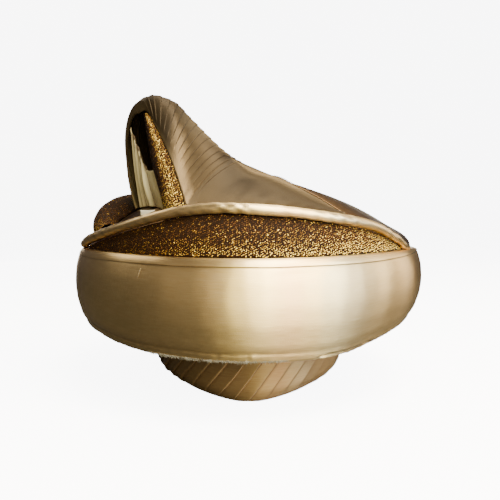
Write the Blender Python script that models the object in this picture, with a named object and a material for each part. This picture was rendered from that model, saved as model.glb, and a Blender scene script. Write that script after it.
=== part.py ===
"""A ready-made turban: a pleated cap that takes the head, a wide padded band that stands off it,
a crescent of glitter cloth under a rolled edge, and a satin wrap that rises to a hooded peak.

Sizes are in millimetres, and MM turns them into Blender's metres. X runs to the right of the
front view, Y away from it and Z up, and the cap's rim rests at height 0. An angle goes round the
turban from the front, positive towards +X, in degrees. A radius is measured along X, and every
ring except the cap is deeper than wide by DEPTH."""

import math
from collections import namedtuple

import bmesh
import bpy
from mathutils import Vector

MM = 0.001
DEPTH = 1.07
GAP = 0.35
CLOTH = 2.0
WELD = 0.001

# The cap
CAP_HALF_WIDTH = 81.5
CAP_HALF_LENGTH = 99.0
CAP_HEIGHT = 128.0
CAP_WALL = 2.5
CAP_COLUMNS = 72
CAP_PLEAT = 1.0
CAP_PLEATED_HEIGHT = 50.0
CAP_SLANT = 26.0
EAR_LIFT = 12.0
FRONT_REST = 0.10
BACK_REST = 0.60

# The band and the web under it
BAND_COLUMNS = 64
BAND_TOP = 114.0
BAND_RIGHT_TUCK = 1.5
SIDE_RISE = 3.2
SIDE_RISE_ANGLE = 75.0
WEB_ABOVE_HEM = 6.5
WEB_HEIGHT_AT_CAP = 60.0
WEB_GATHER = 1.2
WEB_SAG = 12.0
WEB_SAG_ANGLE = 33.0
WEB_SAG_SPREAD = 38.0

# The crescent of glitter cloth and its rolled edge
CRESCENT_RADIUS = 141.5
CRESCENT_LEAN = 0.32
CRESCENT_COLUMNS = 34
CRESCENT_ROWS = 4
ROLL_HALF_THICK = 4.4
ROLL_HALF_HIGH = 3.7
ROLL_SPREAD = 1.4
ROLL_START = -80.0
ROLL_END = 66.0
ROLL_TAPER = 24.0
ROLL_SECTIONS = 40
ROLL_SIDES = 8

# The dome
DOME_RADIUS = 142.0
DOME_FRONT_INSET = 3.2
DOME_COLUMNS = 48
DOME_FRONT_CENTRE = -7.0
DOME_FRONT_HALF = 73.0
DOME_FRONT_BLEND = 20.0

# The wrap and the hood's mouth
MOUTH_ANGLE = -19.6
SEAM_ANGLE = 31.0
PLEATED_SHARE = 0.45
PLEATS = 12
PLEAT_DEPTH = 0.7
PLAIN_ROWS = 7
FRONT_STEPS = 8
BACK_STEPS = 7
MOUTH_TIP = Vector((-80.0, -67.0, 226.0))
MOUTH_BOW = 3.0
TUCK = 3.5
MOUTH_BULGE_SHARE = 0.25
FACING_BULGE = 0.22

# The padded glitter roll behind the hood
SIDE_ROLL_SECTIONS = 20
SIDE_ROLL_ARC_POINTS = 9
SIDE_ROLL_BASE_POINTS = 4

Ring = namedtuple("Ring", "share radius")
HemStop = namedtuple("HemStop", "angle height")
CapRow = namedtuple("CapRow", "height inset")
DomeRow = namedtuple("DomeRow", "radius height")
CrescentStop = namedtuple("CrescentStop", "angle height")
RidgeStop = namedtuple("RidgeStop", "share x y z reach swell")
BackStop = namedtuple("BackStop", "share x y")
FacingStop = namedtuple("FacingStop", "share width")
MouthFold = namedtuple("MouthFold", "share out top")
SideStop = namedtuple("SideStop", "angle radius height size")

CAP_ROWS = (
    CapRow(0.0, 10.5),
    CapRow(4.0, 4.5),
    CapRow(11.0, 1.0),
    CapRow(24.0, 0.0),
    CapRow(36.0, 0.0),
    CapRow(50.0, 0.0),
    CapRow(80.0, 3.0),
    CapRow(104.0, 16.0),
    CapRow(121.0, 42.0),
)

BAND_OUTSIDE = (
    Ring(1.00, 138.2),
    Ring(0.95, 140.6),
    Ring(0.86, 143.6),
    Ring(0.74, 146.9),
    Ring(0.60, 149.2),
    Ring(0.42, 150.2),
    Ring(0.26, 149.6),
    Ring(0.12, 147.6),
    Ring(0.03, 145.4),
    Ring(0.00, 143.6),
)
BAND_INSIDE = (
    Ring(0.00, 134.0),
    Ring(0.24, 137.0),
    Ring(0.48, 137.6),
    Ring(0.74, 134.5),
    Ring(1.00, 129.0),
)
HEM = (
    HemStop(-180.0, 47.0),
    HemStop(-120.0, 50.0),
    HemStop(-60.0, 51.5),
    HemStop(-45.0, 48.5),
    HemStop(-30.0, 45.5),
    HemStop(0.0, 43.0),
    HemStop(18.0, 43.3),
    HemStop(30.0, 45.5),
    HemStop(40.0, 50.0),
    HemStop(55.0, 54.8),
    HemStop(78.0, 58.5),
    HemStop(130.0, 53.0),
    HemStop(180.0, 47.0),
)

CRESCENT = (
    CrescentStop(-66.0, 1.2),
    CrescentStop(-58.0, 4.8),
    CrescentStop(-47.0, 11.2),
    CrescentStop(-38.0, 16.6),
    CrescentStop(-29.0, 21.9),
    CrescentStop(-20.0, 26.5),
    CrescentStop(-8.0, 29.0),
    CrescentStop(8.0, 27.1),
    CrescentStop(24.0, 22.3),
    CrescentStop(36.0, 17.6),
    CrescentStop(43.0, 13.6),
    CrescentStop(50.0, 6.8),
    CrescentStop(56.0, 1.2),
)

DOME = (
    DomeRow(0.0, 177.0),
    DomeRow(34.0, 173.5),
    DomeRow(60.0, 165.5),
    DomeRow(88.0, 154.5),
    DomeRow(106.0, 145.5),
    DomeRow(124.0, 134.5),
    DomeRow(134.0, 127.5),
    DomeRow(140.5, 119.5),
    DomeRow(142.0, 114.4),
)

RIDGE = (
    RidgeStop(0.00, -89.0, -61.0, 224.5, 10.0, 4.0),
    RidgeStop(0.05, -84.0, -62.0, 235.0, 14.0, 12.0),
    RidgeStop(0.10, -76.5, -62.0, 238.3, 18.0, 10.0),
    RidgeStop(0.17, -59.5, -60.0, 233.2, 22.0, 6.0),
    RidgeStop(0.24, -47.0, -56.0, 221.3, 22.0, 3.0),
    RidgeStop(0.31, -34.0, -51.0, 208.5, 22.0, 0.0),
    RidgeStop(0.38, -20.5, -45.5, 196.6, 22.0, 0.0),
    RidgeStop(0.45, -9.5, -41.0, 189.5, 22.0, 0.0),
    RidgeStop(0.55, 7.0, -43.0, 181.3, 22.0, 0.0),
    RidgeStop(0.65, 22.0, -56.0, 173.5, 22.0, 0.0),
    RidgeStop(0.76, 38.0, -76.0, 161.8, 16.0, 0.0),
    RidgeStop(0.88, 56.0, -94.0, 150.8, 10.0, 0.0),
    RidgeStop(1.00, 70.5, -107.0, 144.5, 6.0, 0.0),
)

BACK = (
    BackStop(0.00, -97.0, -28.0),
    BackStop(0.10, -88.0, -4.0),
    BackStop(0.20, -72.0, 14.0),
    BackStop(0.32, -48.0, 27.0),
    BackStop(0.45, -18.0, 24.0),
    BackStop(0.55, 8.0, 0.0),
    BackStop(0.65, 27.0, -32.0),
    BackStop(0.76, 42.0, -61.0),
    BackStop(0.88, 59.0, -82.0),
    BackStop(1.00, 74.5, -97.5),
)

FACING = (
    FacingStop(0.00, 24.0),
    FacingStop(0.35, 23.5),
    FacingStop(0.68, 16.5),
    FacingStop(0.90, 8.5),
    FacingStop(1.00, 4.0),
)

MOUTH_FOLDS = (
    MouthFold(0.00, 0.0, 216.0),
    MouthFold(0.05, 1.6, 212.5),
    MouthFold(0.12, -1.4, 208.0),
    MouthFold(0.20, 2.2, 203.0),
    MouthFold(0.28, -1.6, 198.0),
    MouthFold(0.38, 2.8, 192.5),
    MouthFold(0.48, 3.4, 187.0),
    MouthFold(0.56, -1.6, 182.0),
    MouthFold(0.62, 0.8, 179.0),
    MouthFold(0.78, 1.6, 178.0),
    MouthFold(1.00, 0.0, 178.0),
)
MOUTH_LOW_FAR = Vector((-91.5, -36.0, 0.0))
MOUTH_LOW_NEAR = Vector((-60.0, -92.5, 0.0))
MOUTH_TOP_FAR = Vector((-97.8, -44.5, 0.0))
MOUTH_TOP_NEAR = Vector((-71.0, -79.0, 0.0))
MOUTH_SHEET_ROWS = 6

SIDE_ROLL = (
    SideStop(-174.0, 101.0, 145.0, 8.0),
    SideStop(-160.0, 102.0, 143.0, 17.0),
    SideStop(-140.0, 104.0, 141.0, 24.0),
    SideStop(-115.0, 107.0, 138.5, 28.0),
    SideStop(-95.0, 110.0, 137.5, 25.5),
    SideStop(-82.0, 115.5, 136.0, 20.5),
    SideStop(-72.0, 121.5, 132.5, 13.5),
    SideStop(-65.0, 125.5, 130.0, 6.5),
)

Cloth = namedtuple("Cloth", "name colour roughness metallic")
SATIN = Cloth("champagne_satin", (0.62, 0.47, 0.27), 0.34, 0.55)
PALE_SATIN = Cloth("pale_satin", (0.70, 0.58, 0.38), 0.36, 0.45)
BROWN_SATIN = Cloth("bronze_satin", (0.30, 0.19, 0.08), 0.40, 0.50)
GLITTER = Cloth("gold_glitter", (0.52, 0.32, 0.09), 0.30, 0.90)


def smooth(share):
    """0 to 1 with a soft start and end."""
    share = min(1.0, max(0.0, share))
    return share * share * (3.0 - 2.0 * share)


def mix(low, high, share):
    return low + (high - low) * share


def curve_through(rows, column):
    """A smooth function through a named column of a table, read against its first column."""
    xs = [row[0] for row in rows]
    ys = [getattr(row, column) for row in rows]
    slopes = [(ys[i + 1] - ys[i]) / (xs[i + 1] - xs[i]) for i in range(len(xs) - 1)]
    tangents = [slopes[0]]
    for before, after in zip(slopes, slopes[1:]):
        tangents.append(2 * before * after / (before + after) if before * after > 0 else 0.0)
    tangents.append(slopes[-1])

    def value(x):
        x = min(max(x, xs[0]), xs[-1])
        i = max(k for k in range(len(xs) - 1) if xs[k] <= x)
        width = xs[i + 1] - xs[i]
        t = (x - xs[i]) / width
        start = (1 + 2 * t) * (1 - t) ** 2 * ys[i] + t * (1 - t) ** 2 * width * tangents[i]
        end = t * t * (3 - 2 * t) * ys[i + 1] + t * t * (t - 1) * width * tangents[i + 1]
        return start + end

    return value


def ring_point(angle, radius, height, depth=DEPTH):
    """A point on a ring round the turban."""
    turn = math.radians(angle)
    return Vector((radius * math.sin(turn), -depth * radius * math.cos(turn), height))


def bezier(start, handle_a, handle_b, end, t):
    u = 1.0 - t
    return start * u**3 + handle_a * (3 * u * u * t) + handle_b * (3 * u * t * t) + end * t**3


def make_object(name, mesh_data, cloth):
    """An object of one cloth, shaded smooth but for its hems."""
    mesh = bpy.data.meshes.new(name)
    mesh_data.to_mesh(mesh)
    mesh_data.free()
    mesh.shade_smooth()
    mesh.set_sharp_from_angle(angle=math.radians(50.0))
    material = bpy.data.materials.new(f"{name}_{cloth.name}")
    material.use_nodes = True
    shader = material.node_tree.nodes["Principled BSDF"]
    shader.inputs["Base Color"].default_value = (*cloth.colour, 1.0)
    shader.inputs["Roughness"].default_value = cloth.roughness
    shader.inputs["Metallic"].default_value = cloth.metallic
    mesh.materials.append(material)
    made = bpy.data.objects.new(name, mesh)
    bpy.context.scene.collection.objects.link(made)
    return made


def loft(name, sections, cloth, ring=False):
    """A closed body skinned through loops of points, with its ends capped or, in a ring, joined."""
    mesh_data = bmesh.new()
    loops = [[mesh_data.verts.new(point * MM) for point in section] for section in sections]
    pairs = list(zip(loops, loops[1:]))
    if ring:
        pairs.append((loops[-1], loops[0]))
    for here, there in pairs:
        for i, corner in enumerate(here):
            j = (i + 1) % len(here)
            mesh_data.faces.new((corner, here[j], there[j], there[i]))
    if not ring:
        mesh_data.faces.new(loops[0])
        mesh_data.faces.new(loops[-1])
    bmesh.ops.remove_doubles(mesh_data, verts=mesh_data.verts, dist=WELD * MM)
    bmesh.ops.recalc_face_normals(mesh_data, faces=mesh_data.faces)
    return make_object(name, mesh_data, cloth)


def sheet(name, grid, thickness, cloth):
    """Cloth thickened inwards from the grid of points on its outer face."""
    mesh_data = bmesh.new()
    rows = [[mesh_data.verts.new(point * MM) for point in row] for row in grid]
    for here, there in zip(rows, rows[1:]):
        for i in range(len(here) - 1):
            mesh_data.faces.new((here[i], there[i], there[i + 1], here[i + 1]))
    made = make_object(name, mesh_data, cloth)
    solidify = made.modifiers.new("cloth", "SOLIDIFY")
    solidify.thickness = thickness * MM
    solidify.offset = -1.0
    return made


hem_height = curve_through(HEM, "height")
crescent_height = curve_through(CRESCENT, "height")
dome_profile = curve_through(DOME, "height")
ridge_x = curve_through(RIDGE, "x")
ridge_y = curve_through(RIDGE, "y")
ridge_z = curve_through(RIDGE, "z")
ridge_reach = curve_through(RIDGE, "reach")
ridge_swell = curve_through(RIDGE, "swell")
back_x = curve_through(BACK, "x")
back_y = curve_through(BACK, "y")
facing_width = curve_through(FACING, "width")
fold_out = curve_through(MOUTH_FOLDS, "out")
fold_top = curve_through(MOUTH_FOLDS, "top")
side_radius = curve_through(SIDE_ROLL, "radius")
side_height = curve_through(SIDE_ROLL, "height")
side_size = curve_through(SIDE_ROLL, "size")


def side_rise(angle):
    """How much higher the band's top stands round the sides and back than in front."""
    return SIDE_RISE * smooth(abs((angle + 180.0) % 360.0 - 180.0) / SIDE_RISE_ANGLE)


def band_top(angle):
    return BAND_TOP + side_rise(angle)


def dome_scale(angle):
    """How far the dome's edge stands in behind the crescent."""
    away = abs((angle - DOME_FRONT_CENTRE + 180.0) % 360.0 - 180.0) - DOME_FRONT_HALF
    return 1.0 - DOME_FRONT_INSET / DOME_RADIUS * (1.0 - smooth(away / DOME_FRONT_BLEND))


def dome_lift(angle, height):
    """The dome's edge follows the band's top, and its upper part doesn't."""
    return side_rise(angle) * smooth((138.0 - height) / 23.6)


def dome_height(x, y):
    """The height of the dome's outer face above a place in plan."""
    angle = math.degrees(math.atan2(x, -y / DEPTH))
    height = dome_profile(math.hypot(x, y / DEPTH) / dome_scale(angle))
    return height + dome_lift(angle, height)


def above_dome(x, y, gap):
    """A height that clears the dome by a gap measured square to its face."""
    here = dome_height(x, y)
    slope = math.hypot(dome_height(x + 0.5, y) - here, dome_height(x, y + 0.5) - here) / 0.5
    return here + gap * math.hypot(1.0, slope)


def roll_centre(angle):
    """The radius and height of the rolled edge's middle, above the crescent or the band."""
    beyond = max(CRESCENT[0].angle - angle, angle - CRESCENT[-1].angle, 0.0)
    rise = crescent_height(angle) * (1.0 - smooth(beyond / 6.0))
    high = band_top(angle) + 2 * GAP + rise + ROLL_HALF_HIGH * roll_size(angle)
    out = 0.5 + ROLL_SPREAD * (1.0 - smooth(rise / 12.0))
    return CRESCENT_RADIUS - CRESCENT_LEAN * rise + out, high


def roll_size(angle):
    """The roll thins to both ends."""
    to_end = min(angle - ROLL_START, ROLL_END - angle) / ROLL_TAPER
    return mix(0.35, 1.0, math.sqrt(smooth(to_end)))


def cap_lift(turned, height):
    """The rim lifts over the ears, and rests at the middle of the front and along the back."""
    side = abs(math.sin(math.radians(turned)))
    if math.cos(math.radians(turned)) > 0:
        share = max(0.0, (side - FRONT_REST) / (1.0 - FRONT_REST)) ** 1.2
    else:
        share = smooth((side - BACK_REST) / (1.0 - BACK_REST))
    return EAR_LIFT * share * smooth(1.0 - height / 40.0)


def cap_point(angle, row, inward, column):
    """A place on the cap's wall, with slanting pleats."""
    turned = angle + CAP_SLANT * min(1.0, row.height / CAP_PLEATED_HEIGHT)
    fade = smooth(1.0 - row.height / CAP_PLEATED_HEIGHT)
    pleat = CAP_PLEAT * fade * (0.5 if column % 2 else -0.5) * smooth(row.height / 8.0)
    inset = row.inset + inward - pleat
    high = row.height + cap_lift(turned, row.height)
    if row.height > CAP_PLEATED_HEIGHT:
        high -= inward * row.inset / CAP_HALF_WIDTH
    width = CAP_HALF_WIDTH - inset
    length = CAP_HALF_LENGTH - inset
    return ring_point(turned, width, high, length / width)


def make_head_cap():
    sections = []
    for column in range(CAP_COLUMNS):
        angle = 360.0 * column / CAP_COLUMNS
        outside = [cap_point(angle, row, 0.0, column) for row in CAP_ROWS]
        inside = [cap_point(angle, row, CAP_WALL, column) for row in CAP_ROWS]
        top = Vector((0.0, 0.0, CAP_HEIGHT))
        under_top = Vector((0.0, 0.0, CAP_HEIGHT - CAP_WALL))
        sections.append([*outside, top, under_top, *reversed(inside)])
    return loft("head_cap", sections, SATIN, ring=True)


def band_point(angle, ring):
    """A place on the band, whose hem is pulled in a little on the right."""
    tuck = BAND_RIGHT_TUCK * max(0.0, math.sin(math.radians(angle))) * ring.share**2
    top = band_top(angle)
    hem = hem_height((angle + 180.0) % 360.0 - 180.0)
    return ring_point(angle, ring.radius - tuck, mix(top, hem, ring.share))


def make_padded_band():
    sections = []
    for column in range(BAND_COLUMNS):
        angle = 360.0 * column / BAND_COLUMNS
        sections.append([band_point(angle, ring) for ring in (*BAND_OUTSIDE, *BAND_INSIDE)])
    return loft("padded_band", sections, PALE_SATIN, ring=True)


def cap_inset(height):
    """The cap's inset between two rows of its table."""
    low, high = next(pair for pair in zip(CAP_ROWS, CAP_ROWS[1:]) if pair[1].height > height)
    return mix(low.inset, high.inset, (height - low.height) / (high.height - low.height))


def web_ends(angle, above_hem):
    """Where the web meets the band's inner face, a little above the hem."""
    low, high = band_point(angle, BAND_INSIDE[-1]), band_point(angle, BAND_INSIDE[-2])
    place = low.lerp(high, above_hem / (high.z - low.z))
    level = Vector((place.x, place.y, 0.0)).normalized()
    return place - level * GAP


def make_under_panel():
    """A gathered web that carries the band on the cap, and sags below the hem on the right."""
    sections = []
    for column in range(BAND_COLUMNS):
        angle = 360.0 * column / BAND_COLUMNS
        fold = WEB_GATHER * (1 if column % 2 else -1)
        off = abs((angle - WEB_SAG_ANGLE + 180.0) % 360.0 - 180.0)
        sag = WEB_SAG * smooth(1.0 - off / WEB_SAG_SPREAD)
        section = []
        for above in (0.0, -CLOTH):
            outer = web_ends(angle, WEB_ABOVE_HEM + above)
            height = WEB_HEIGHT_AT_CAP + 0.5 * fold + above
            width = CAP_HALF_WIDTH - cap_inset(height) + GAP + 0.1
            length = CAP_HALF_LENGTH - cap_inset(height) + GAP + 0.1
            inner = ring_point(angle, width, height, length / width)
            near = outer.lerp(inner, 0.15) + Vector((0.0, 0.0, -sag - 0.4 * fold))
            middle = outer.lerp(inner, 0.50) + Vector((0.0, 0.0, -0.5 * sag + fold))
            line = [outer, near, middle, inner]
            section += line if above == 0.0 else reversed(line)
        sections.append(section)
    return loft("under_panel", sections, SATIN, ring=True)


def make_glitter_panel():
    sections = []
    first, last = CRESCENT[0].angle, CRESCENT[-1].angle
    for column in range(CRESCENT_COLUMNS + 1):
        angle = mix(first, last, column / CRESCENT_COLUMNS)
        rise = crescent_height(angle)
        heights = [rise * row / CRESCENT_ROWS for row in range(CRESCENT_ROWS + 1)]
        outside = []
        inside = []
        for high in heights:
            swell = 0.8 * math.sin(math.pi * high / rise)
            radius = CRESCENT_RADIUS - CRESCENT_LEAN * high + swell
            outside.append(ring_point(angle, radius, band_top(angle) + GAP + high))
            inside.append(ring_point(angle, radius - CLOTH, band_top(angle) + GAP + high))
        sections.append([*outside, *reversed(inside)])
    return loft("glitter_panel", sections, GLITTER)


def make_rolled_edge():
    sections = []
    for station in range(ROLL_SECTIONS + 1):
        angle = mix(ROLL_START, ROLL_END, station / ROLL_SECTIONS)
        radius, high = roll_centre(angle)
        size = roll_size(angle)
        section = []
        for side in range(ROLL_SIDES):
            turn = 2 * math.pi * (side + 0.5) / ROLL_SIDES
            out = radius + ROLL_HALF_THICK * size * math.cos(turn)
            section.append(ring_point(angle, out, high + ROLL_HALF_HIGH * size * math.sin(turn)))
        sections.append(section)
    return loft("rolled_edge", sections, PALE_SATIN)


def make_crown():
    sections = []
    for column in range(DOME_COLUMNS):
        angle = 360.0 * column / DOME_COLUMNS
        scale = dome_scale(angle)
        outside = []
        inside = []
        for row in reversed(DOME):
            high = row.height + dome_lift(angle, row.height)
            inward = CLOTH * smooth(row.radius / DOME_RADIUS * 1.6 - 0.6)
            lower = CLOTH * smooth((DOME_RADIUS - row.radius) / 12.0)
            outside.append(ring_point(angle, row.radius * scale, high))
            inside.append(ring_point(angle, max(0.0, row.radius * scale - inward), high - lower))
        sections.append([*outside, *reversed(inside)])
    return loft("crown", sections, BROWN_SATIN, ring=True)


def wrap_front(share):
    """The wrap's near edge: down the hood's mouth, then along behind the rolled edge."""
    foot_angle = MOUTH_ANGLE
    if share > PLEATED_SHARE:
        along = (share - PLEATED_SHARE) / (1.0 - PLEATED_SHARE)
        foot_angle = mix(MOUTH_ANGLE, SEAM_ANGLE, along)
    radius, high = roll_centre(foot_angle)
    foot = ring_point(foot_angle, radius - ROLL_HALF_THICK - GAP, high + 2.5)
    if share >= PLEATED_SHARE:
        return foot
    down = share / PLEATED_SHARE
    edge = MOUTH_TIP.lerp(foot, down)
    edge.x += MOUTH_BOW * math.sin(math.pi * down)
    return edge


def wrap_section(share):
    """The wrap's outer face across one fold: tuck, front, ridge and back."""
    front = wrap_front(share)
    ridge = Vector((ridge_x(share), ridge_y(share), ridge_z(share)))
    back = Vector((back_x(share), back_y(share), 0.0))
    flat = smooth((share - 0.38) / 0.20)
    lying = smooth((share - 0.22) / 0.14)
    back.z = above_dome(back.x, back.y, mix(1.4, CLOTH + 1.4, lying))

    level_in = Vector((ridge.x - front.x, ridge.y - front.y, 0.0))
    level_out = Vector((back.x - ridge.x, back.y - ridge.y, 0.0))
    across = (level_in.normalized() + level_out.normalized()).normalized()
    along = across.lerp((back - front).normalized(), flat)
    rise_in = (ridge - front).length
    rise_out = (back - ridge).length

    bulge = max(0.0, 1.0 - share / MOUTH_BULGE_SHARE)
    swell = ridge_swell(share)
    reach = min(ridge_reach(share), 0.36 * rise_out)
    front_handle = front + (ridge - front) * 0.30 + Vector((0.0, 0.0, 0.10 * rise_in))
    ridge_in = ridge - along * 0.36 * rise_in
    ridge_out = ridge + along * reach + Vector((-swell, 0.0, 2.0 * bulge))
    drop = Vector((0.0, 0.0, 0.45 * (ridge.z - back.z) * (1.0 - flat)))
    spread = Vector((-1.2 * swell - 8.0 * bulge, -4.0 * bulge, 5.0 * bulge))
    back_handle = back + drop - along * (0.34 * rise_out * flat) + spread

    tuck = Vector((0.0, TUCK, 0.0))
    if share > PLEATED_SHARE:
        tuck = Vector((0.0, 0.8, -3.0))
    section = [front + tuck]
    for step in range(FRONT_STEPS + 1):
        t = step / FRONT_STEPS
        section.append(bezier(front, front_handle, ridge_in, ridge, t))
    for step in range(1, BACK_STEPS + 1):
        t = step / BACK_STEPS
        section.append(bezier(ridge, ridge_out, back_handle, back, t))
    return section


def make_crown_wrap():
    """Knife pleats run from the mouth's edge up over the ridge, and the rest is drawn smooth."""
    grid = []
    pleat_rows = 2 * PLEATS
    for row in range(pleat_rows + 1):
        share = PLEATED_SHARE * row / pleat_rows
        section = wrap_section(share)
        step = PLEAT_DEPTH * (0.5 if row % 2 else -0.5) * smooth(row / 3.0)
        for column in range(4, len(section) - 3):
            section[column] = section[column] + Vector((0.3, -0.5, 0.8)) * step
        grid.append(section)
    for row in range(1, PLAIN_ROWS + 1):
        grid.append(wrap_section(mix(PLEATED_SHARE, 1.0, row / PLAIN_ROWS)))
    return sheet("crown_wrap", grid, CLOTH, SATIN)


def make_mouth_facing():
    """A tapered strip of glitter cloth along the near edge of the mouth, swelling outwards."""
    inward = Vector((-0.74, 0.67, 0.0))
    outward = Vector((-0.67, -0.74, 0.0))
    stations = 14
    arc_points = 5
    sections = []
    for station in range(stations + 1):
        up = 0.97 * station / stations
        start = wrap_front(PLEATED_SHARE * (1.0 - up)) + Vector((-0.6, 1.0, 0.0))
        width = facing_width(up)
        arc = []
        for point in range(arc_points):
            t = point / (arc_points - 1)
            swell = FACING_BULGE * width * math.sin(math.pi * t)
            arc.append(start + inward * width * t + outward * swell)
        behind = [arc[-1] - outward * CLOTH, arc[0].lerp(arc[-1], 0.5) - outward * CLOTH]
        behind.append(arc[0] - outward * CLOTH + inward * 2.0)
        section = [*arc, *behind]
        if station == 0:
            for place in section:
                place.z = above_dome(place.x, place.y, 0.5)
        sections.append(section)
    return loft("mouth_facing", sections, GLITTER)


def make_mouth_pleats():
    """A sheet with soft folds that stands across the lower part of the mouth."""
    facing_out = Vector((-0.91, -0.41, 0.0))
    grid = []
    shares = []
    for here, there in zip(MOUTH_FOLDS, MOUTH_FOLDS[1:]):
        shares += [here.share, (here.share + there.share) / 2]
    for along in (*shares, 1.0):
        low = MOUTH_LOW_FAR.lerp(MOUTH_LOW_NEAR, along)
        low.z = above_dome(low.x, low.y, 1.0)
        high = MOUTH_TOP_FAR.lerp(MOUTH_TOP_NEAR, along)
        high.z = fold_top(along)
        line = []
        for row in range(MOUTH_SHEET_ROWS + 1):
            up = row / MOUTH_SHEET_ROWS
            strength = mix(0.6, 0.25, up) + 0.5 * math.sin(math.pi * up)
            line.append(low.lerp(high, up) + facing_out * fold_out(along) * strength)
        grid.append(line)
    return sheet("mouth_pleats", grid, 1.5, PALE_SATIN)


def side_roll_section(angle):
    """A round bulge that sits on the dome: its arc, then the dome's own line back under it."""
    radius, high, size = side_radius(angle), side_height(angle), side_size(angle)
    bearing = math.radians(angle)

    def at(turn):
        return radius + size * math.cos(turn), high + size * math.sin(turn)

    def dome_under(out):
        return above_dome(out * math.sin(bearing), -DEPTH * out * math.cos(bearing), 0.6)

    def contact(turn, step):
        while at(turn)[1] < dome_under(at(turn)[0]):
            turn += step
        return turn

    start = contact(math.radians(-75.0), 0.005)
    end = contact(math.radians(255.0), -0.005)
    arc = [at(mix(start, end, i / (SIDE_ROLL_ARC_POINTS - 1))) for i in range(SIDE_ROLL_ARC_POINTS)]
    base = []
    for i in range(1, SIDE_ROLL_BASE_POINTS + 1):
        out = mix(arc[-1][0], arc[0][0], i / (SIDE_ROLL_BASE_POINTS + 1))
        base.append((out, dome_under(out)))
    return [ring_point(angle, out, up) for out, up in (*arc, *base)]


def make_side_roll():
    first, last = SIDE_ROLL[0].angle, SIDE_ROLL[-1].angle
    stations = [mix(first, last, i / SIDE_ROLL_SECTIONS) for i in range(SIDE_ROLL_SECTIONS + 1)]
    return loft("side_roll", [side_roll_section(angle) for angle in stations], GLITTER)


def clear_scene():
    for old in list(bpy.data.objects):
        bpy.data.objects.remove(old)


def main():
    clear_scene()
    make_head_cap()
    make_padded_band()
    make_under_panel()
    make_glitter_panel()
    make_rolled_edge()
    make_crown()
    make_crown_wrap()
    make_mouth_facing()
    make_mouth_pleats()
    make_side_roll()


main()
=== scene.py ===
"""The turban's looks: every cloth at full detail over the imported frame, soft studio light, and a
camera where the photograph's stood.

The tables and formulas of the shapes are those of the part's source, in millimetres, and MM turns
them into metres. The wrap's pleats are finer here. X runs to the right of the front view, Y away
from it and Z up. An angle goes round the turban from the front, positive towards +X, in degrees."""

import math
import random
from collections import namedtuple

import bpy
import numpy as np
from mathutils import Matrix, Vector, noise


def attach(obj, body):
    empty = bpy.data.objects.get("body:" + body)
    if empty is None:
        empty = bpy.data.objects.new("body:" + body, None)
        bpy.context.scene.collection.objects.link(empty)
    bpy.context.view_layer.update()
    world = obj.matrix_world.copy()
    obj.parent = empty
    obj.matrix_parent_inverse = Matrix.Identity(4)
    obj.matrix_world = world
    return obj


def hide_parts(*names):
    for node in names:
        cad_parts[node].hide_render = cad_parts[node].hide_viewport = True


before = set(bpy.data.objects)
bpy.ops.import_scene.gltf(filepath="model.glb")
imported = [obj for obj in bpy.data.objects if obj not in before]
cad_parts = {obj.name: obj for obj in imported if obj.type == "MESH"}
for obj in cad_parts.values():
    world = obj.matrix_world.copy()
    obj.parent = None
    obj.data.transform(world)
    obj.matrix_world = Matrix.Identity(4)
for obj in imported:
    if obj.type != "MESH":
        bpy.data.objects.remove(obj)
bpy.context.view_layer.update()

MM = 0.001
DEPTH = 1.07
GAP = 0.35
CLOTH = 2.0

CAP_HALF_WIDTH = 81.5
CAP_HALF_LENGTH = 99.0
CAP_HEIGHT = 128.0
CAP_SHOULDER = 121.0
CAP_PLEATS = 40
CAP_PLEAT = 1.5
CAP_PLEATED_HEIGHT = 50.0
CAP_SLANT = 26.0
EAR_LIFT = 12.0
FRONT_REST = 0.10
BACK_REST = 0.60

BAND_TOP = 114.0
BAND_RIGHT_TUCK = 1.5
BAND_SEAM_ANGLE = 178.0
SIDE_RISE = 3.2
SIDE_RISE_ANGLE = 75.0
WEB_ABOVE_HEM = 6.5
WEB_HEIGHT_AT_CAP = 60.0
WEB_SAG = 12.0
WEB_SAG_ANGLE = 33.0
WEB_SAG_SPREAD = 38.0
WEB_GATHERS = 104

CRESCENT_RADIUS = 141.5
CRESCENT_LEAN = 0.32
ROLL_HALF_THICK = 4.4
ROLL_HALF_HIGH = 3.7
ROLL_SPREAD = 1.4
ROLL_START = -80.0
ROLL_END = 66.0
ROLL_TAPER = 24.0

DOME_RADIUS = 142.0
DOME_FRONT_INSET = 3.2
DOME_FRONT_CENTRE = -7.0
DOME_FRONT_HALF = 73.0
DOME_FRONT_BLEND = 20.0
DOME_PLEATS = 48
COLUMNS_A_PLEAT = 10

MOUTH_ANGLE = -19.6
SEAM_ANGLE = 31.0
PLEATED_SHARE = 0.45
PLEATS = 16
PLEAT_DEPTH = 0.5
PLEATS_START = 0.02
PLEATS_END = PLEATED_SHARE + 0.02
EDGE_BULGE = 1.6
MOUTH_TIP = Vector((-80.0, -67.0, 226.0))
MOUTH_BOW = 3.0
TUCK = 3.5
MOUTH_BULGE_SHARE = 0.25
FACING_BULGE = 0.22

MOUTH_LOW_FAR = Vector((-91.5, -36.0, 0.0))
MOUTH_LOW_NEAR = Vector((-60.0, -92.5, 0.0))
MOUTH_TOP_FAR = Vector((-97.8, -44.5, 0.0))
MOUTH_TOP_NEAR = Vector((-71.0, -79.0, 0.0))


def table(columns, *rows):
    """A short table whose rows have named columns."""
    row_of = namedtuple("row_of", columns)
    return tuple(row_of(*row) for row in rows)


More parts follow.
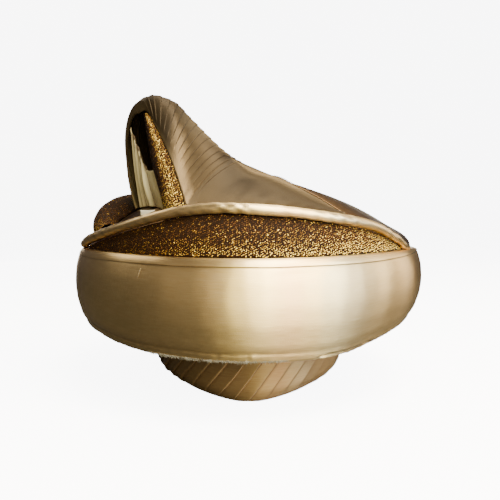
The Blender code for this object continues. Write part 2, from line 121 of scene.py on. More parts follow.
CAP_ROWS = table(
    "height inset",
    (0.0, 10.5), (4.0, 4.5), (11.0, 1.0), (24.0, 0.0), (36.0, 0.0),
    (50.0, 0.0), (80.0, 3.0), (104.0, 16.0), (CAP_SHOULDER, 42.0),
)
BAND_OUTSIDE = table(
    "share radius",
    (0.00, 143.6), (0.03, 145.4), (0.12, 147.6), (0.26, 149.6), (0.42, 150.2),
    (0.60, 149.2), (0.74, 146.9), (0.86, 143.6), (0.95, 140.6), (1.00, 138.2),
)
BAND_INSIDE = table(
    "share radius",
    (0.00, 134.0), (0.24, 137.0), (0.48, 137.6), (0.74, 134.5), (1.00, 129.0),
)
HEM = table(
    "angle height",
    (-180.0, 47.0), (-120.0, 50.0), (-60.0, 51.5), (-45.0, 48.5), (-30.0, 45.5),
    (0.0, 43.0), (18.0, 43.3), (30.0, 45.5), (40.0, 50.0), (55.0, 54.8),
    (78.0, 58.5), (130.0, 53.0), (180.0, 47.0),
)
CRESCENT = table(
    "angle height",
    (-66.0, 1.2), (-58.0, 4.8), (-47.0, 11.2), (-38.0, 16.6), (-29.0, 21.9),
    (-20.0, 26.5), (-8.0, 29.0), (8.0, 27.1), (24.0, 22.3), (36.0, 17.6),
    (43.0, 13.6), (50.0, 6.8), (56.0, 1.2),
)
DOME = table(
    "radius height",
    (0.0, 177.0), (34.0, 173.5), (60.0, 165.5), (88.0, 154.5), (106.0, 145.5),
    (124.0, 134.5), (134.0, 127.5), (140.5, 119.5), (142.0, 114.4),
)
RIDGE = table(
    "share x y z reach swell",
    (0.00, -89.0, -61.0, 224.5, 10.0, 4.0),
    (0.05, -84.0, -62.0, 235.0, 14.0, 12.0),
    (0.10, -76.5, -62.0, 238.3, 18.0, 10.0),
    (0.17, -59.5, -60.0, 233.2, 22.0, 6.0),
    (0.24, -47.0, -56.0, 221.3, 22.0, 3.0),
    (0.31, -34.0, -51.0, 208.5, 22.0, 0.0),
    (0.38, -20.5, -45.5, 196.6, 22.0, 0.0),
    (0.45, -9.5, -41.0, 189.5, 22.0, 0.0),
    (0.55, 7.0, -43.0, 181.3, 22.0, 0.0),
    (0.65, 22.0, -56.0, 173.5, 22.0, 0.0),
    (0.76, 38.0, -76.0, 161.8, 16.0, 0.0),
    (0.88, 56.0, -94.0, 150.8, 10.0, 0.0),
    (1.00, 70.5, -107.0, 144.5, 6.0, 0.0),
)
BACK = table(
    "share x y",
    (0.00, -97.0, -28.0), (0.10, -88.0, -4.0), (0.20, -72.0, 14.0), (0.32, -48.0, 27.0),
    (0.45, -18.0, 24.0), (0.55, 8.0, 0.0), (0.65, 27.0, -32.0), (0.76, 42.0, -61.0),
    (0.88, 59.0, -82.0), (1.00, 74.5, -97.5),
)
FACING = table(
    "share width",
    (0.00, 24.0), (0.35, 23.5), (0.68, 16.5), (0.90, 8.5), (1.00, 4.0),
)
MOUTH_FOLDS = table(
    "share out top",
    (0.00, 0.0, 216.0), (0.05, 1.6, 212.5), (0.12, -1.4, 208.0), (0.20, 2.2, 203.0),
    (0.28, -1.6, 198.0), (0.38, 2.8, 192.5), (0.48, 3.4, 187.0), (0.56, -1.6, 182.0),
    (0.62, 0.8, 179.0), (0.78, 1.6, 178.0), (1.00, 0.0, 178.0),
)
FOLD_CREASES = (0.10, 0.155, 0.25, 0.31, 0.425, 0.535, 0.60)
SIDE_ROLL = table(
    "angle radius height size",
    (-174.0, 101.0, 145.0, 8.0),
    (-160.0, 102.0, 143.0, 17.0),
    (-140.0, 104.0, 141.0, 24.0),
    (-115.0, 107.0, 138.5, 28.0),
    (-95.0, 110.0, 137.5, 25.5),
    (-82.0, 115.5, 136.0, 20.5),
    (-72.0, 121.5, 132.5, 13.5),
    (-65.0, 125.5, 130.0, 6.5),
)


# Shapes shared with the part's source


def smooth(share):
    """0 to 1 with a soft start and end."""
    share = min(1.0, max(0.0, share))
    return share * share * (3.0 - 2.0 * share)


def mix(low, high, share):
    return low + (high - low) * share


def bump(x, centre, half):
    """1 at the centre, falling softly to 0 at half a width away."""
    return smooth(1.0 - abs(x - centre) / half)


def rough(x, y=0.0, z=0.0):
    """Seedless noise from about -1 to 1, the same in every run."""
    return noise.noise(Vector((x, y, z)))


def curve_through(rows, column):
    """A smooth function through a named column of a table, read against its first column."""
    xs = [row[0] for row in rows]
    ys = [getattr(row, column) for row in rows]
    slopes = [(ys[i + 1] - ys[i]) / (xs[i + 1] - xs[i]) for i in range(len(xs) - 1)]
    tangents = [slopes[0]]
    for before, after in zip(slopes, slopes[1:]):
        tangents.append(2 * before * after / (before + after) if before * after > 0 else 0.0)
    tangents.append(slopes[-1])

    def value(x):
        x = min(max(x, xs[0]), xs[-1])
        i = max(k for k in range(len(xs) - 1) if xs[k] <= x)
        width = xs[i + 1] - xs[i]
        t = (x - xs[i]) / width
        start = (1 + 2 * t) * (1 - t) ** 2 * ys[i] + t * (1 - t) ** 2 * width * tangents[i]
        end = t * t * (3 - 2 * t) * ys[i + 1] + t * t * (t - 1) * width * tangents[i + 1]
        return start + end

    return value


def ring_point(angle, radius, height, depth=DEPTH):
    """A point on a ring round the turban."""
    turn = math.radians(angle)
    return Vector((radius * math.sin(turn), -depth * radius * math.cos(turn), height))


def bezier(start, handle_a, handle_b, end, t):
    u = 1.0 - t
    return start * u**3 + handle_a * (3 * u * u * t) + handle_b * (3 * u * t * t) + end * t**3


def curves_through(rows):
    """One smooth function for each column of a table after its first."""
    return [curve_through(rows, column) for column in rows[0]._fields[1:]]


(hem_curve,) = curves_through(HEM)
(band_outside,) = curves_through(BAND_OUTSIDE)
(band_inside,) = curves_through(BAND_INSIDE)
(cap_inset,) = curves_through(CAP_ROWS)
(crescent_height,) = curves_through(CRESCENT)
(dome_profile,) = curves_through(DOME)
(facing_width,) = curves_through(FACING)
ridge_x, ridge_y, ridge_z, ridge_reach, ridge_swell = curves_through(RIDGE)
back_x, back_y = curves_through(BACK)
fold_out, fold_top = curves_through(MOUTH_FOLDS)
side_radius, side_height, side_size = curves_through(SIDE_ROLL)


def wrapped(angle):
    return (angle + 180.0) % 360.0 - 180.0


def band_top(angle):
    """The band's top stands higher round the sides and back than in front."""
    return BAND_TOP + SIDE_RISE * smooth(abs(wrapped(angle)) / SIDE_RISE_ANGLE)


def hem_height(angle):
    return hem_curve(wrapped(angle))


def dome_scale(angle):
    """How far the dome's edge stands in behind the crescent."""
    away = abs(wrapped(angle - DOME_FRONT_CENTRE)) - DOME_FRONT_HALF
    return 1.0 - DOME_FRONT_INSET / DOME_RADIUS * (1.0 - smooth(away / DOME_FRONT_BLEND))


def dome_lift(angle, height):
    return (band_top(angle) - BAND_TOP) * smooth((138.0 - height) / 23.6)


def dome_height(x, y):
    angle = math.degrees(math.atan2(x, -y / DEPTH))
    height = dome_profile(math.hypot(x, y / DEPTH) / dome_scale(angle))
    return height + dome_lift(angle, height)


def above_dome(x, y, gap):
    """A height that clears the dome by a gap measured square to its face."""
    here = dome_height(x, y)
    slope = math.hypot(dome_height(x + 0.5, y) - here, dome_height(x, y + 0.5) - here) / 0.5
    return here + gap * math.hypot(1.0, slope)


def roll_size(angle):
    """The roll thins to both ends."""
    to_end = min(angle - ROLL_START, ROLL_END - angle) / ROLL_TAPER
    return mix(0.35, 1.0, math.sqrt(smooth(to_end)))


def roll_centre(angle):
    """The radius and height of the rolled edge's middle, above the crescent or the band."""
    beyond = max(CRESCENT[0].angle - angle, angle - CRESCENT[-1].angle, 0.0)
    rise = crescent_height(angle) * (1.0 - smooth(beyond / 6.0))
    high = band_top(angle) + 2 * GAP + rise + ROLL_HALF_HIGH * roll_size(angle)
    out = 0.5 + ROLL_SPREAD * (1.0 - smooth(rise / 12.0))
    return CRESCENT_RADIUS - CRESCENT_LEAN * rise + out, high


def wrap_front(share):
    """The wrap's near edge: down the hood's mouth, then along behind the rolled edge."""
    foot_angle = MOUTH_ANGLE
    if share > PLEATED_SHARE:
        along = (share - PLEATED_SHARE) / (1.0 - PLEATED_SHARE)
        foot_angle = mix(MOUTH_ANGLE, SEAM_ANGLE, along)
    radius, high = roll_centre(foot_angle)
    foot = ring_point(foot_angle, radius - ROLL_HALF_THICK - GAP, high + 2.5)
    if share >= PLEATED_SHARE:
        return foot
    down = share / PLEATED_SHARE
    edge = MOUTH_TIP.lerp(foot, down)
    edge.x += MOUTH_BOW * math.sin(math.pi * down)
    return edge


def wrap_section(share, front_steps, back_steps):
    """The wrap's outer face across one fold: tuck, front, ridge and back."""
    front = wrap_front(share)
    ridge = Vector((ridge_x(share), ridge_y(share), ridge_z(share)))
    back = Vector((back_x(share), back_y(share), 0.0))
    flat = smooth((share - 0.38) / 0.20)
    lying = smooth((share - 0.22) / 0.14)
    back.z = above_dome(back.x, back.y, mix(1.4, CLOTH + 1.4, lying))

    level_in = Vector((ridge.x - front.x, ridge.y - front.y, 0.0))
    level_out = Vector((back.x - ridge.x, back.y - ridge.y, 0.0))
    across = (level_in.normalized() + level_out.normalized()).normalized()
    along = across.lerp((back - front).normalized(), flat)
    rise_in = (ridge - front).length
    rise_out = (back - ridge).length

    bulge = max(0.0, 1.0 - share / MOUTH_BULGE_SHARE)
    swell = ridge_swell(share)
    reach = min(ridge_reach(share), 0.36 * rise_out)
    front_handle = front + (ridge - front) * 0.30 + Vector((0.0, 0.0, 0.10 * rise_in))
    ridge_in = ridge - along * 0.36 * rise_in
    ridge_out = ridge + along * reach + Vector((-swell, 0.0, 2.0 * bulge))
    drop = Vector((0.0, 0.0, 0.45 * (ridge.z - back.z) * (1.0 - flat)))
    spread_out = Vector((-1.2 * swell - 8.0 * bulge, -4.0 * bulge, 5.0 * bulge))
    back_handle = back + drop - along * (0.34 * rise_out * flat) + spread_out

    tuck = Vector((0.0, TUCK, 0.0))
    if share > PLEATED_SHARE:
        tuck = Vector((0.0, 0.8, -3.0))
    section = [front + tuck, front + tuck * 0.5]
    for step in range(front_steps + 1):
        section.append(bezier(front, front_handle, ridge_in, ridge, step / front_steps))
    for step in range(1, back_steps + 1):
        t = 1.0 - (1.0 - step / back_steps) ** 1.4
        section.append(bezier(ridge, ridge_out, back_handle, back, t))
    return section


# Meshes


def linked(name, data):
    """A new object in the scene."""
    made = bpy.data.objects.new(name, data)
    bpy.context.scene.collection.objects.link(made)
    return made


def plain_mesh(name, verts, faces, material, rounded=True):
    """An object from points in millimetres, with rounded or flat shading."""
    mesh = bpy.data.meshes.new(name)
    mesh.from_pydata([tuple(place * MM) for place in verts], [], faces)
    mesh.materials.append(material)
    if rounded:
        mesh.shade_smooth()
    mesh.validate()
    return linked(name, mesh)


def tube_faces(start, rings, sides):
    """Four-sided faces between rings of points that follow each other in a list."""
    faces = []
    for ring in range(rings - 1):
        for side in range(sides):
            a = start + ring * sides + side
            b = start + ring * sides + (side + 1) % sides
            faces.append((a, b, b + sides, a + sides))
    return faces


def grid_of(rows):
    return np.array([[tuple(point) for point in row] for row in rows])


def normals_of(grid, ring_rows=False, ring_columns=False):
    """Unit normals of a grid of points, from the differences between neighbours."""

    def step(axis, ring):
        if ring:
            return np.roll(grid, -1, axis) - np.roll(grid, 1, axis)
        return np.gradient(grid, axis=axis)

    normals = np.cross(step(0, ring_rows), step(1, ring_columns))
    return normals / np.maximum(np.linalg.norm(normals, axis=2, keepdims=True), 1e-9)


def facing_out(rows, centre, folds=None, **ring):
    """A grid of points with its fold shading values, which paint shade into creases, in the row order
    that makes its normals face away from a point."""
    grid = grid_of(rows)
    fold_shading = None if folds is None else np.array(folds)
    if (normals_of(grid, **ring) * (grid - np.array(centre))).sum() < 0:
        grid = grid[::-1].copy()
        fold_shading = None if fold_shading is None else fold_shading[::-1]
    return grid, fold_shading


def lengths_along(grid, axis, ring):
    """How far along the cloth each row or column lies, in millimetres."""
    steps = np.linalg.norm(np.roll(grid, -1, axis) - grid, axis=2).mean(axis=1 - axis)
    if not ring:
        steps = steps[:-1]
    return np.concatenate([[0.0], np.cumsum(steps)])


def cloth(name, grid, material, ring_rows=False, ring_columns=False, fold_shading=None, thickness=0.0):
    """A mesh over a grid of points, with real-size cloth coordinates and a fold shading value a point:
    painted shade, 1 on open cloth, down to 0 in a crease."""
    rows, columns = grid.shape[:2]
    row_faces = rows if ring_rows else rows - 1
    column_faces = columns if ring_columns else columns - 1
    i, j = np.meshgrid(np.arange(row_faces), np.arange(column_faces), indexing="ij")
    i, j = i.ravel(), j.ravel()
    corners = [(i, j), (i + 1, j), (i + 1, j + 1), (i, j + 1)]
    faces = np.stack([(a % rows) * columns + b % columns for a, b in corners], axis=1)

    mesh = bpy.data.meshes.new(name)
    mesh.from_pydata((grid.reshape(-1, 3) * MM).tolist(), [], faces.tolist())
    across = lengths_along(grid, 1, ring_columns) * MM
    down = lengths_along(grid, 0, ring_rows) * MM
    layer = mesh.uv_layers.new(name="cloth")
    uv = np.stack([np.stack([across[b], down[a]], axis=1) for a, b in corners], axis=1)
    layer.data.foreach_set("uv", uv.reshape(-1))
    values = np.ones(rows * columns) if fold_shading is None else np.clip(fold_shading, 0.0, 1.0).reshape(-1)
    mesh.attributes.new("fold_shading", "FLOAT", "POINT").data.foreach_set("value", values)
    mesh.materials.append(material)
    mesh.shade_smooth()
    mesh.validate()
    made = linked(name, mesh)
    if thickness:
        solidify = made.modifiers.new("cloth", "SOLIDIFY")
        solidify.thickness = thickness * MM
        solidify.offset = -1.0
    return made


# Materials


def new_material(name, roughness, metallic):
    material = bpy.data.materials.new(name)
    material.use_nodes = True
    tree = material.node_tree
    shader = tree.nodes["Principled BSDF"]
    shader.inputs["Roughness"].default_value = roughness
    shader.inputs["Metallic"].default_value = metallic
    return material, tree, shader


def put(tree, socket, value):
    """Link a socket, or set a number or colour on it."""
    if isinstance(value, bpy.types.NodeSocket):
        tree.links.new(value, socket)
    else:
        socket.default_value = value


def calculate(tree, operation, first, second):
    made = tree.nodes.new("ShaderNodeMath")
    made.operation = operation
    put(tree, made.inputs[0], first)
    put(tree, made.inputs[1], second)
    return made.outputs[0]


def blend_colours(tree, share, first, second):
    """From the first colour, at share 0, to the second."""
    made = tree.nodes.new("ShaderNodeMix")
    made.data_type = "RGBA"
    for socket, value in ((0, share), (6, first), (7, second)):
        put(tree, made.inputs[socket], (*value, 1) if isinstance(value, tuple) else value)
    return made.outputs[2]


def cloth_noise(tree, scale, stretch, detail=2.0, source="UV"):
    """Noise in the cloth's own real-size coordinates, or in the object's."""
    place = tree.nodes.new("ShaderNodeTexCoord")
    mapping = tree.nodes.new("ShaderNodeMapping")
    mapping.inputs["Scale"].default_value = stretch
    tree.links.new(place.outputs[source], mapping.inputs["Vector"])
    made = tree.nodes.new("ShaderNodeTexNoise")
    made.inputs["Scale"].default_value = scale
    made.inputs["Detail"].default_value = detail
    tree.links.new(mapping.outputs["Vector"], made.inputs["Vector"])
    return made.outputs["Fac"]


def object_noise(tree, scale, detail):
    return cloth_noise(tree, scale, (1.0, 1.0, 1.0), detail, "Object")


def attribute(tree, name):
    made = tree.nodes.new("ShaderNodeAttribute")
    made.attribute_name = name
    return made.outputs["Fac"]


def spread(tree, value, low, high):
    """A 0 to 1 value moved to a range."""
    made = tree.nodes.new("ShaderNodeMapRange")
    put(tree, made.inputs["Value"], value)
    made.inputs["To Min"].default_value = low
    made.inputs["To Max"].default_value = high
    return made.outputs["Result"]


def ripple(tree, shader, height, strength, distance):
    """Fine relief from a 0 to 1 height, as deep as a distance in metres."""
    made = tree.nodes.new("ShaderNodeBump")
    made.inputs["Strength"].default_value = strength
    made.inputs["Distance"].default_value = distance
    put(tree, made.inputs["Height"], height)
    put(tree, shader.inputs["Normal"], made.outputs["Normal"])


# Painted shade: the colours that cloth is blended towards in creases and folds.
CREASE_SHADE = (0.05, 0.02, 0.005)
DARK_CREASE_SHADE = (0.014, 0.009, 0.004)


def satin(name, tones, roughness=0.36, metallic=1.0, turn=0.25, threads=(90.0, 1300.0), crease=CREASE_SHADE):
    """Satin: slubs along its threads, a fine weave, patches of tone, and painted shade in its creases,
    blended towards the crease colour by the fold shading value. Its gleam is drawn out across the
    threads, in a direction set by turn, a share of a full turn."""
    shade, tone, gleam = tones
    material, tree, shader = new_material(name, roughness, metallic)
    patches = object_noise(tree, 14.0, 3.0)
    slubs = cloth_noise(tree, 1.0, (*threads, 1.0))
    grain = cloth_noise(tree, 1.0, (1500.0, 1500.0, 1.0), 1.0)

    colour = blend_colours(tree, spread(tree, patches, 0.0, 1.0), shade, tone)
    colour = blend_colours(tree, spread(tree, slubs, -0.1, 0.55), colour, gleam)
    # Painted shade: the colour is blended towards the crease colour where the fold shading value falls.
    colour = blend_colours(tree, attribute(tree, "fold_shading"), crease, colour)
    put(tree, shader.inputs["Base Color"], colour)
    put(tree, shader.inputs["Roughness"], spread(tree, slubs, roughness - 0.06, roughness + 0.08))
    height = calculate(tree, "ADD", slubs, calculate(tree, "MULTIPLY", grain, 0.8))
    ripple(tree, shader, height, 0.25, 0.00025)
    shader.inputs["Anisotropic"].default_value = 0.9
    shader.inputs["Anisotropic Rotation"].default_value = turn
    return material


def glitter_ground(name, shade, tone):
    """The dark knitted ground that the flecks are set in."""
    material, tree, shader = new_material(name, 0.6, 0.0)
    shader.inputs["Specular IOR Level"].default_value = 0.05
    twill = cloth_noise(tree, 1.0, (900.0, 900.0, 1.0))
    put(tree, shader.inputs["Base Color"], blend_colours(tree, twill, shade, tone))
    put(tree, shader.inputs["Roughness"], spread(tree, twill, 0.5, 0.75))
    ripple(tree, shader, twill, 0.8, 0.0006)
    return material


def fleck_metal(name):
    """Metallic thread, whose tone changes at random from fleck to fleck about a level of painted light and
    shade.
    """
    material, tree, shader = new_material(name, 0.5, 0.85)
    ramp = tree.nodes.new("ShaderNodeValToRGB")
    first, last = ramp.color_ramp.elements
    first.color = (0.007, 0.0025, 0.0005, 1)
    last.color = (0.80, 0.55, 0.12, 1)
    ramp.color_ramp.elements.new(0.35).color = (0.10, 0.038, 0.005, 1)
    ramp.color_ramp.elements.new(0.70).color = (0.38, 0.21, 0.03, 1)
    put(tree, ramp.inputs["Fac"], attribute(tree, "tone"))
    put(tree, shader.inputs["Base Color"], ramp.outputs["Color"])
    scratches = object_noise(tree, 900.0, 1.0)
    put(tree, shader.inputs["Roughness"], spread(tree, scratches, 0.36, 0.58))
    return material


def thread_material(name, colour, roughness=0.6):
    material, tree, shader = new_material(name, roughness, 0.0)
    fuzz = object_noise(tree, 1200.0, 2.0)
    darker = tuple(0.6 * value for value in colour)
    put(tree, shader.inputs["Base Color"], blend_colours(tree, fuzz, darker, colour))
    shader.inputs["Sheen Weight"].default_value = 0.3
    return material


# Painted shade: the wrap's tones are the champagne satin of the cap's, painted about half as bright, and
# the mouth folds' tones are the pale satin, painted darker inside the mouth.
PALE_TONES = ((0.70, 0.47, 0.19), (0.82, 0.58, 0.25), (0.95, 0.75, 0.42))
ROLL_TONES = ((0.66, 0.45, 0.19), (0.78, 0.57, 0.26), (0.92, 0.74, 0.44))
WRAP_SHADED_TONES = ((0.085, 0.056, 0.024), (0.11, 0.074, 0.034), (0.15, 0.108, 0.056))
CROWN_TONES = ((0.125, 0.065, 0.018), (0.17, 0.092, 0.026), (0.23, 0.13, 0.045))
CAP_TONES = ((0.18, 0.10, 0.038), (0.23, 0.14, 0.056), (0.34, 0.24, 0.11))
FOLD_SHADED_TONES = ((0.36, 0.29, 0.15), (0.44, 0.36, 0.20), (0.56, 0.48, 0.30))

PALE = satin("pale_satin", PALE_TONES, threads=(1300.0, 90.0))
ROLL_SATIN = satin("roll_satin", ROLL_TONES)
SATIN = satin("champagne_satin", WRAP_SHADED_TONES, 0.42, 0.90, 0.0, crease=DARK_CREASE_SHADE)
BRONZE = satin("bronze_satin", CROWN_TONES, 0.42)
CAP_SATIN = satin("cap_satin", CAP_TONES, 0.46, 0.72)
FOLD_SATIN = satin("fold_satin", FOLD_SHADED_TONES, 0.45, 0.25)
GROUND = glitter_ground("glitter_ground", (0.006, 0.0022, 0.0007), (0.013, 0.0055, 0.0013))
METAL = fleck_metal("gold_flecks")
STITCH = thread_material("seam_thread", (0.34, 0.15, 0.03))
RAW = thread_material("raw_edge", (0.40, 0.37, 0.28), 0.7)
LINING = thread_material("lining", (0.30, 0.22, 0.13), 0.65)


# The cap


def cap_lift(turned, height):
    """The rim lifts over the ears, and rests at the middle of the front and along the back."""
    side = abs(math.sin(math.radians(turned)))
    if math.cos(math.radians(turned)) > 0:
        share = max(0.0, (side - FRONT_REST) / (1.0 - FRONT_REST)) ** 1.2
    else:
        share = smooth((side - BACK_REST) / (1.0 - BACK_REST))
    return EAR_LIFT * share * smooth(1.0 - height / 40.0)


def knife_pleat(phase, fold_at=0.86):
    """The height of a knife pleat: a slow rise to its fold, then a sharp drop."""
    if phase < fold_at:
        return (phase / fold_at) ** 1.3
    return 1.0 - smooth((phase - fold_at) / (1.0 - fold_at) * 1.6)


def cap_place(angle, height, inward):
    turned = angle + CAP_SLANT * min(1.0, height / CAP_PLEATED_HEIGHT)
    inset = cap_inset(height) + inward
    width, length = CAP_HALF_WIDTH - inset, CAP_HALF_LENGTH - inset
    return ring_point(turned, width, height + cap_lift(turned, height), length / width)


CAP_PHASES = (0.0, 0.14, 0.28, 0.42, 0.56, 0.68, 0.78, 0.84, 0.87, 0.90, 0.93, 0.96)
CAP_LEVELS = (0.0, 0.8, 1.6, 2.6, 4.0, 6.0, 8.5, *range(11, 61, 2), *range(64, 121, 4), CAP_SHOULDER)
SWEATBAND_HEIGHT = 17.0


def make_cap():
    """The cap's cloth, laid in slanting knife pleats over its lower part."""
    rows, folds = [], []
    for height in CAP_LEVELS:
        row, fold_shading = [], []
        fade = smooth(height / 4.0) * smooth((CAP_PLEATED_HEIGHT + 14.0 - height) / 24.0)
        for pleat in range(CAP_PLEATS):
            depth = CAP_PLEAT * fade * (1.0 + 0.35 * rough(pleat * 1.7, 3.1))
            drift = 0.25 * rough(pleat * 0.9, height * 0.03)
            for phase in CAP_PHASES:
                angle = 360.0 * (pleat + phase + drift * math.sin(math.pi * phase)) / CAP_PLEATS
                row.append(cap_place(angle, height, 0.9 * fade - depth * knife_pleat(phase)))
                # Painted shade where each pleat folds over.
                deep = bump(phase, 0.95, 0.07) + 0.5 * bump(phase, 0.02, 0.10)
                fold_shading.append(1.0 - min(1.0, 0.55 * fade * deep))
        rows.append(row)
        folds.append(fold_shading)
    shoulder = rows[-1]
    for share in (0.25, 0.5, 0.75, 0.97):
        high = mix(CAP_SHOULDER, CAP_HEIGHT, 1.0 - (1.0 - share) ** 2)
        rows.append([Vector((p.x * (1 - share), p.y * (1 - share), high)) for p in shoulder])
        folds.append([1.0] * len(shoulder))
    grid, fold_shading = facing_out(rows, (0.0, 0.0, 90.0), folds, ring_columns=True)
    made = cloth("cap_cloth", grid, CAP_SATIN, ring_columns=True, fold_shading=fold_shading, thickness=1.2)
    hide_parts("head_cap")
    return made


def make_sweatband():
    """A soft binding round the inside of the cap's rim."""
    rows, steps, columns = [], 12, 240
    for step in range(steps + 1):
        height = 0.8 + SWEATBAND_HEIGHT * step / steps
        swell = 0.6 * math.sin(math.pi * step / steps)
        row = []
        for column in range(columns):
            angle = 360.0 * column / columns
            ripples = 0.25 * rough(angle * 0.35, height * 0.2)
            row.append(cap_place(angle, height, 3.0 + swell + ripples))
        rows.append(row)
    return cloth("sweatband", grid_of(rows), LINING, ring_columns=True, thickness=0.8)


# The band


def fold_line(angle):
    """How far the top hem's fold lies below the band's top: it runs out on the right."""
    out = smooth((angle - 30.0) / 45.0) * smooth((150.0 - angle) / 40.0)
    return mix(5.6, 2.4, out)


def wavy_fold_line(angle):
    return fold_line(angle) + 0.25 * rough(angle * 0.08, 5.0)


def crease_line(angle):
    """How far above the hem the band's lower crease lies."""
    return 7.2 + 1.1 * rough(angle * 0.07, 9.0)


def under_strip(angle):
    """How far a turned-under strip shows below the band's face, at the front right."""
    shown = smooth((angle - 15.0) / 9.0) * smooth((46.0 - angle) / 10.0)
    return 4.6 * shown + 0.35 * shown * rough(angle * 0.35, 21.0)


def hem_clearness(angle):
    """The top hem's line is faint on the front left."""
    return 1.0 - 0.65 * smooth((-22.0 - angle) / 14.0) * smooth((angle + 150.0) / 20.0)


def band_offset(angle, down, up):
    """How far the band's face stands out, from its distances below the top and above the hem."""
    line, clear, crease = wavy_fold_line(angle), hem_clearness(angle), crease_line(angle)
    offset = 0.35 * rough(angle * 0.045, down * 0.03) + 0.10 * rough(angle * 0.3, down * 0.05, 7.0)
    offset += 0.55 * clear * (1.0 - smooth((down - line + 0.2) / 0.4))
    offset -= 0.25 * clear * bump(down, line + 0.5, 0.9)
    pull = bump(angle, 13.0, 13.0) + 0.5 * bump(angle, -22.0, 16.0)
    offset += 0.30 * pull * bump(down, line + 4.0, 4.5) * math.sin(2.4 * (down - 0.12 * angle))
    plain = smooth((angle - 8.0) / 14.0)
    offset -= mix(0.5, 0.25, plain) * bump(up, crease, mix(2.4, 3.0, plain))
    offset += 0.4 * bump(up, crease + 5.0, 4.5)
    strip = under_strip(angle)
    tucks = bump(angle, 21.5, 1.6) + bump(angle, 37.5, 1.6)
    offset -= (1.5 + 0.7 * tucks) * smooth((strip - up) / 0.7) * smooth(strip / 1.2)
    gathers = rough(angle * 1.5, up * 0.10, 2.0) + 0.6 * rough(angle * 0.5, up * 0.2, 4.0)
    offset += 0.38 * gathers * smooth(1.0 - (up - 2.0) / 10.0)
    offset -= 0.7 * bump(wrapped(angle - BAND_SEAM_ANGLE), 0.0, 0.7)
    return offset


def band_fold_shading(angle, down, up):
    """The band's fold shading value: painted shade under its hem line, in its crease and on the
    turned-under strip, and darker at the back seam.
    """
    crease_shade = mix(0.20, 0.08, smooth((angle - 8.0) / 14.0))
    dark = 0.55 * hem_clearness(angle) * bump(down, wavy_fold_line(angle) + 0.35, 0.7)
    dark += crease_shade * bump(up, crease_line(angle), 1.9)
    strip = under_strip(angle)
    if strip > 0.6:
        dark += 0.34 * smooth((strip - up) / 0.5) + 0.35 * bump(up, strip - 0.5, 0.8)
    dark += 0.5 * bump(wrapped(angle - BAND_SEAM_ANGLE), 0.0, 0.5)
    return 1.0 - dark


def right_tuck(angle):
    """The band's foot is drawn in on the right."""
    return BAND_RIGHT_TUCK * max(0.0, math.sin(math.radians(angle)))


def on_band(angle, down, out=0.0):
    """A point on the band's face, or a little way out from it."""
    top, hem = band_top(angle), hem_height(angle)
    high = top - hem
    radius = band_outside(down / high) - right_tuck(angle) * (down / high) ** 2
    radius += band_offset(wrapped(angle), down, high - down)
    return ring_point(angle, radius + out, top - down)


BAND_COLUMNS = 540
HEM_FOLD_STEPS = (0.55, 0.75, 0.88, 0.95, 1.0, 1.06, 1.14, 1.3, 1.6)
FOOT_STEPS = (9.2, 8.4, 7.8, 7.2, 6.6, 6.0, 5.5, 5.0, 4.6, 4.2, 3.7, 3.2, 2.7, 2.2)
HEM_HALF_THICK = 1.2
BAND_FOOT_RADIUS = 133.8
BAND_TURN_RADIUS = 139.3
BAND_TURN_REACH = 5.4


def band_section(angle):
    """One upright section round the band, with a fold shading value for each point: its face, the
    ragged turn under at its foot, its inside, and the turn at its top."""
    top, hem = band_top(angle), hem_height(angle)
    high = top - hem
    downs = [fold_line(wrapped(angle)) * share for share in HEM_FOLD_STEPS]
    first, last = downs[-1], high - 10.0
    downs += [mix(first, last, step / 24) for step in range(1, 25)]
    downs += [high - up for up in FOOT_STEPS]
    points = [(on_band(angle, down), band_fold_shading(wrapped(angle), down, high - down)) for down in downs]
    ragged = 0.5 * rough(angle * 0.8, 11.0) + 0.3 * rough(angle * 3.1, 12.0)
    reach = 4.9 + 0.3 * rough(angle * 1.5, 2.0)
    # Painted shade: the turn under at the foot is a little darker, and the inside darker still.
    for step in range(8):
        turn = math.pi * step / 7
        radius = BAND_FOOT_RADIUS - right_tuck(angle) + reach * math.cos(turn)
        height = hem + HEM_HALF_THICK + ragged - HEM_HALF_THICK * math.sin(turn)
        points.append((ring_point(angle, radius, height), 0.8))
    for step in range(1, 14):
        share = 1.0 - step / 14
        points.append((ring_point(angle, band_inside(share), mix(top, hem, share)), 0.7))
    for step in range(8):
        turn = math.pi * (1.0 - step / 7)
        height = top - HEM_HALF_THICK + HEM_HALF_THICK * math.sin(turn)
        radius = BAND_TURN_RADIUS + BAND_TURN_REACH * math.cos(turn)
        points.append((ring_point(angle, radius, height), 1.0))
    return points


def make_band():
    sections = [band_section(360.0 * column / BAND_COLUMNS) for column in range(BAND_COLUMNS)]
    rows = [[place for place, _ in section] for section in sections]
    folds = [[fold_shading for _, fold_shading in section] for section in sections]
    grid, fold_shading = facing_out(rows, (0, 0, 0), folds, ring_rows=True, ring_columns=True)
    made = cloth("band_cloth", grid, PALE, True, True, fold_shading)
    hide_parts("padded_band")
    return made


FRAY_FROM = -30.0
FRAY_TO = 11.0
FRAY_STRANDS = 460
FRAY_RADIUS = 0.085
LINT = table(
    "angle down",
    (-30.0, 8.6), (-30.15, 10.4), (-30.3, 12.2), (-30.45, 14.0), (-30.7, 15.6),
)


def fibre(verts, faces, path, radius):
    """Add a thin three-sided strand that tapers to its end."""
    start = len(verts)
    for number, place in enumerate(path):
        ahead = path[min(number + 1, len(path) - 1)] - path[max(number - 1, 0)]
        side = ahead.cross(Vector((0.3, -1.0, 0.2))).normalized()
        other = ahead.cross(side).normalized()
        wide = radius * (1.0 - 0.6 * number / (len(path) - 1))
        for corner in range(3):
            turn = 2 * math.pi * corner / 3
            verts.append(place + (side * math.cos(turn) + other * math.sin(turn)) * wide)
    faces += tube_faces(start, len(path), 3)


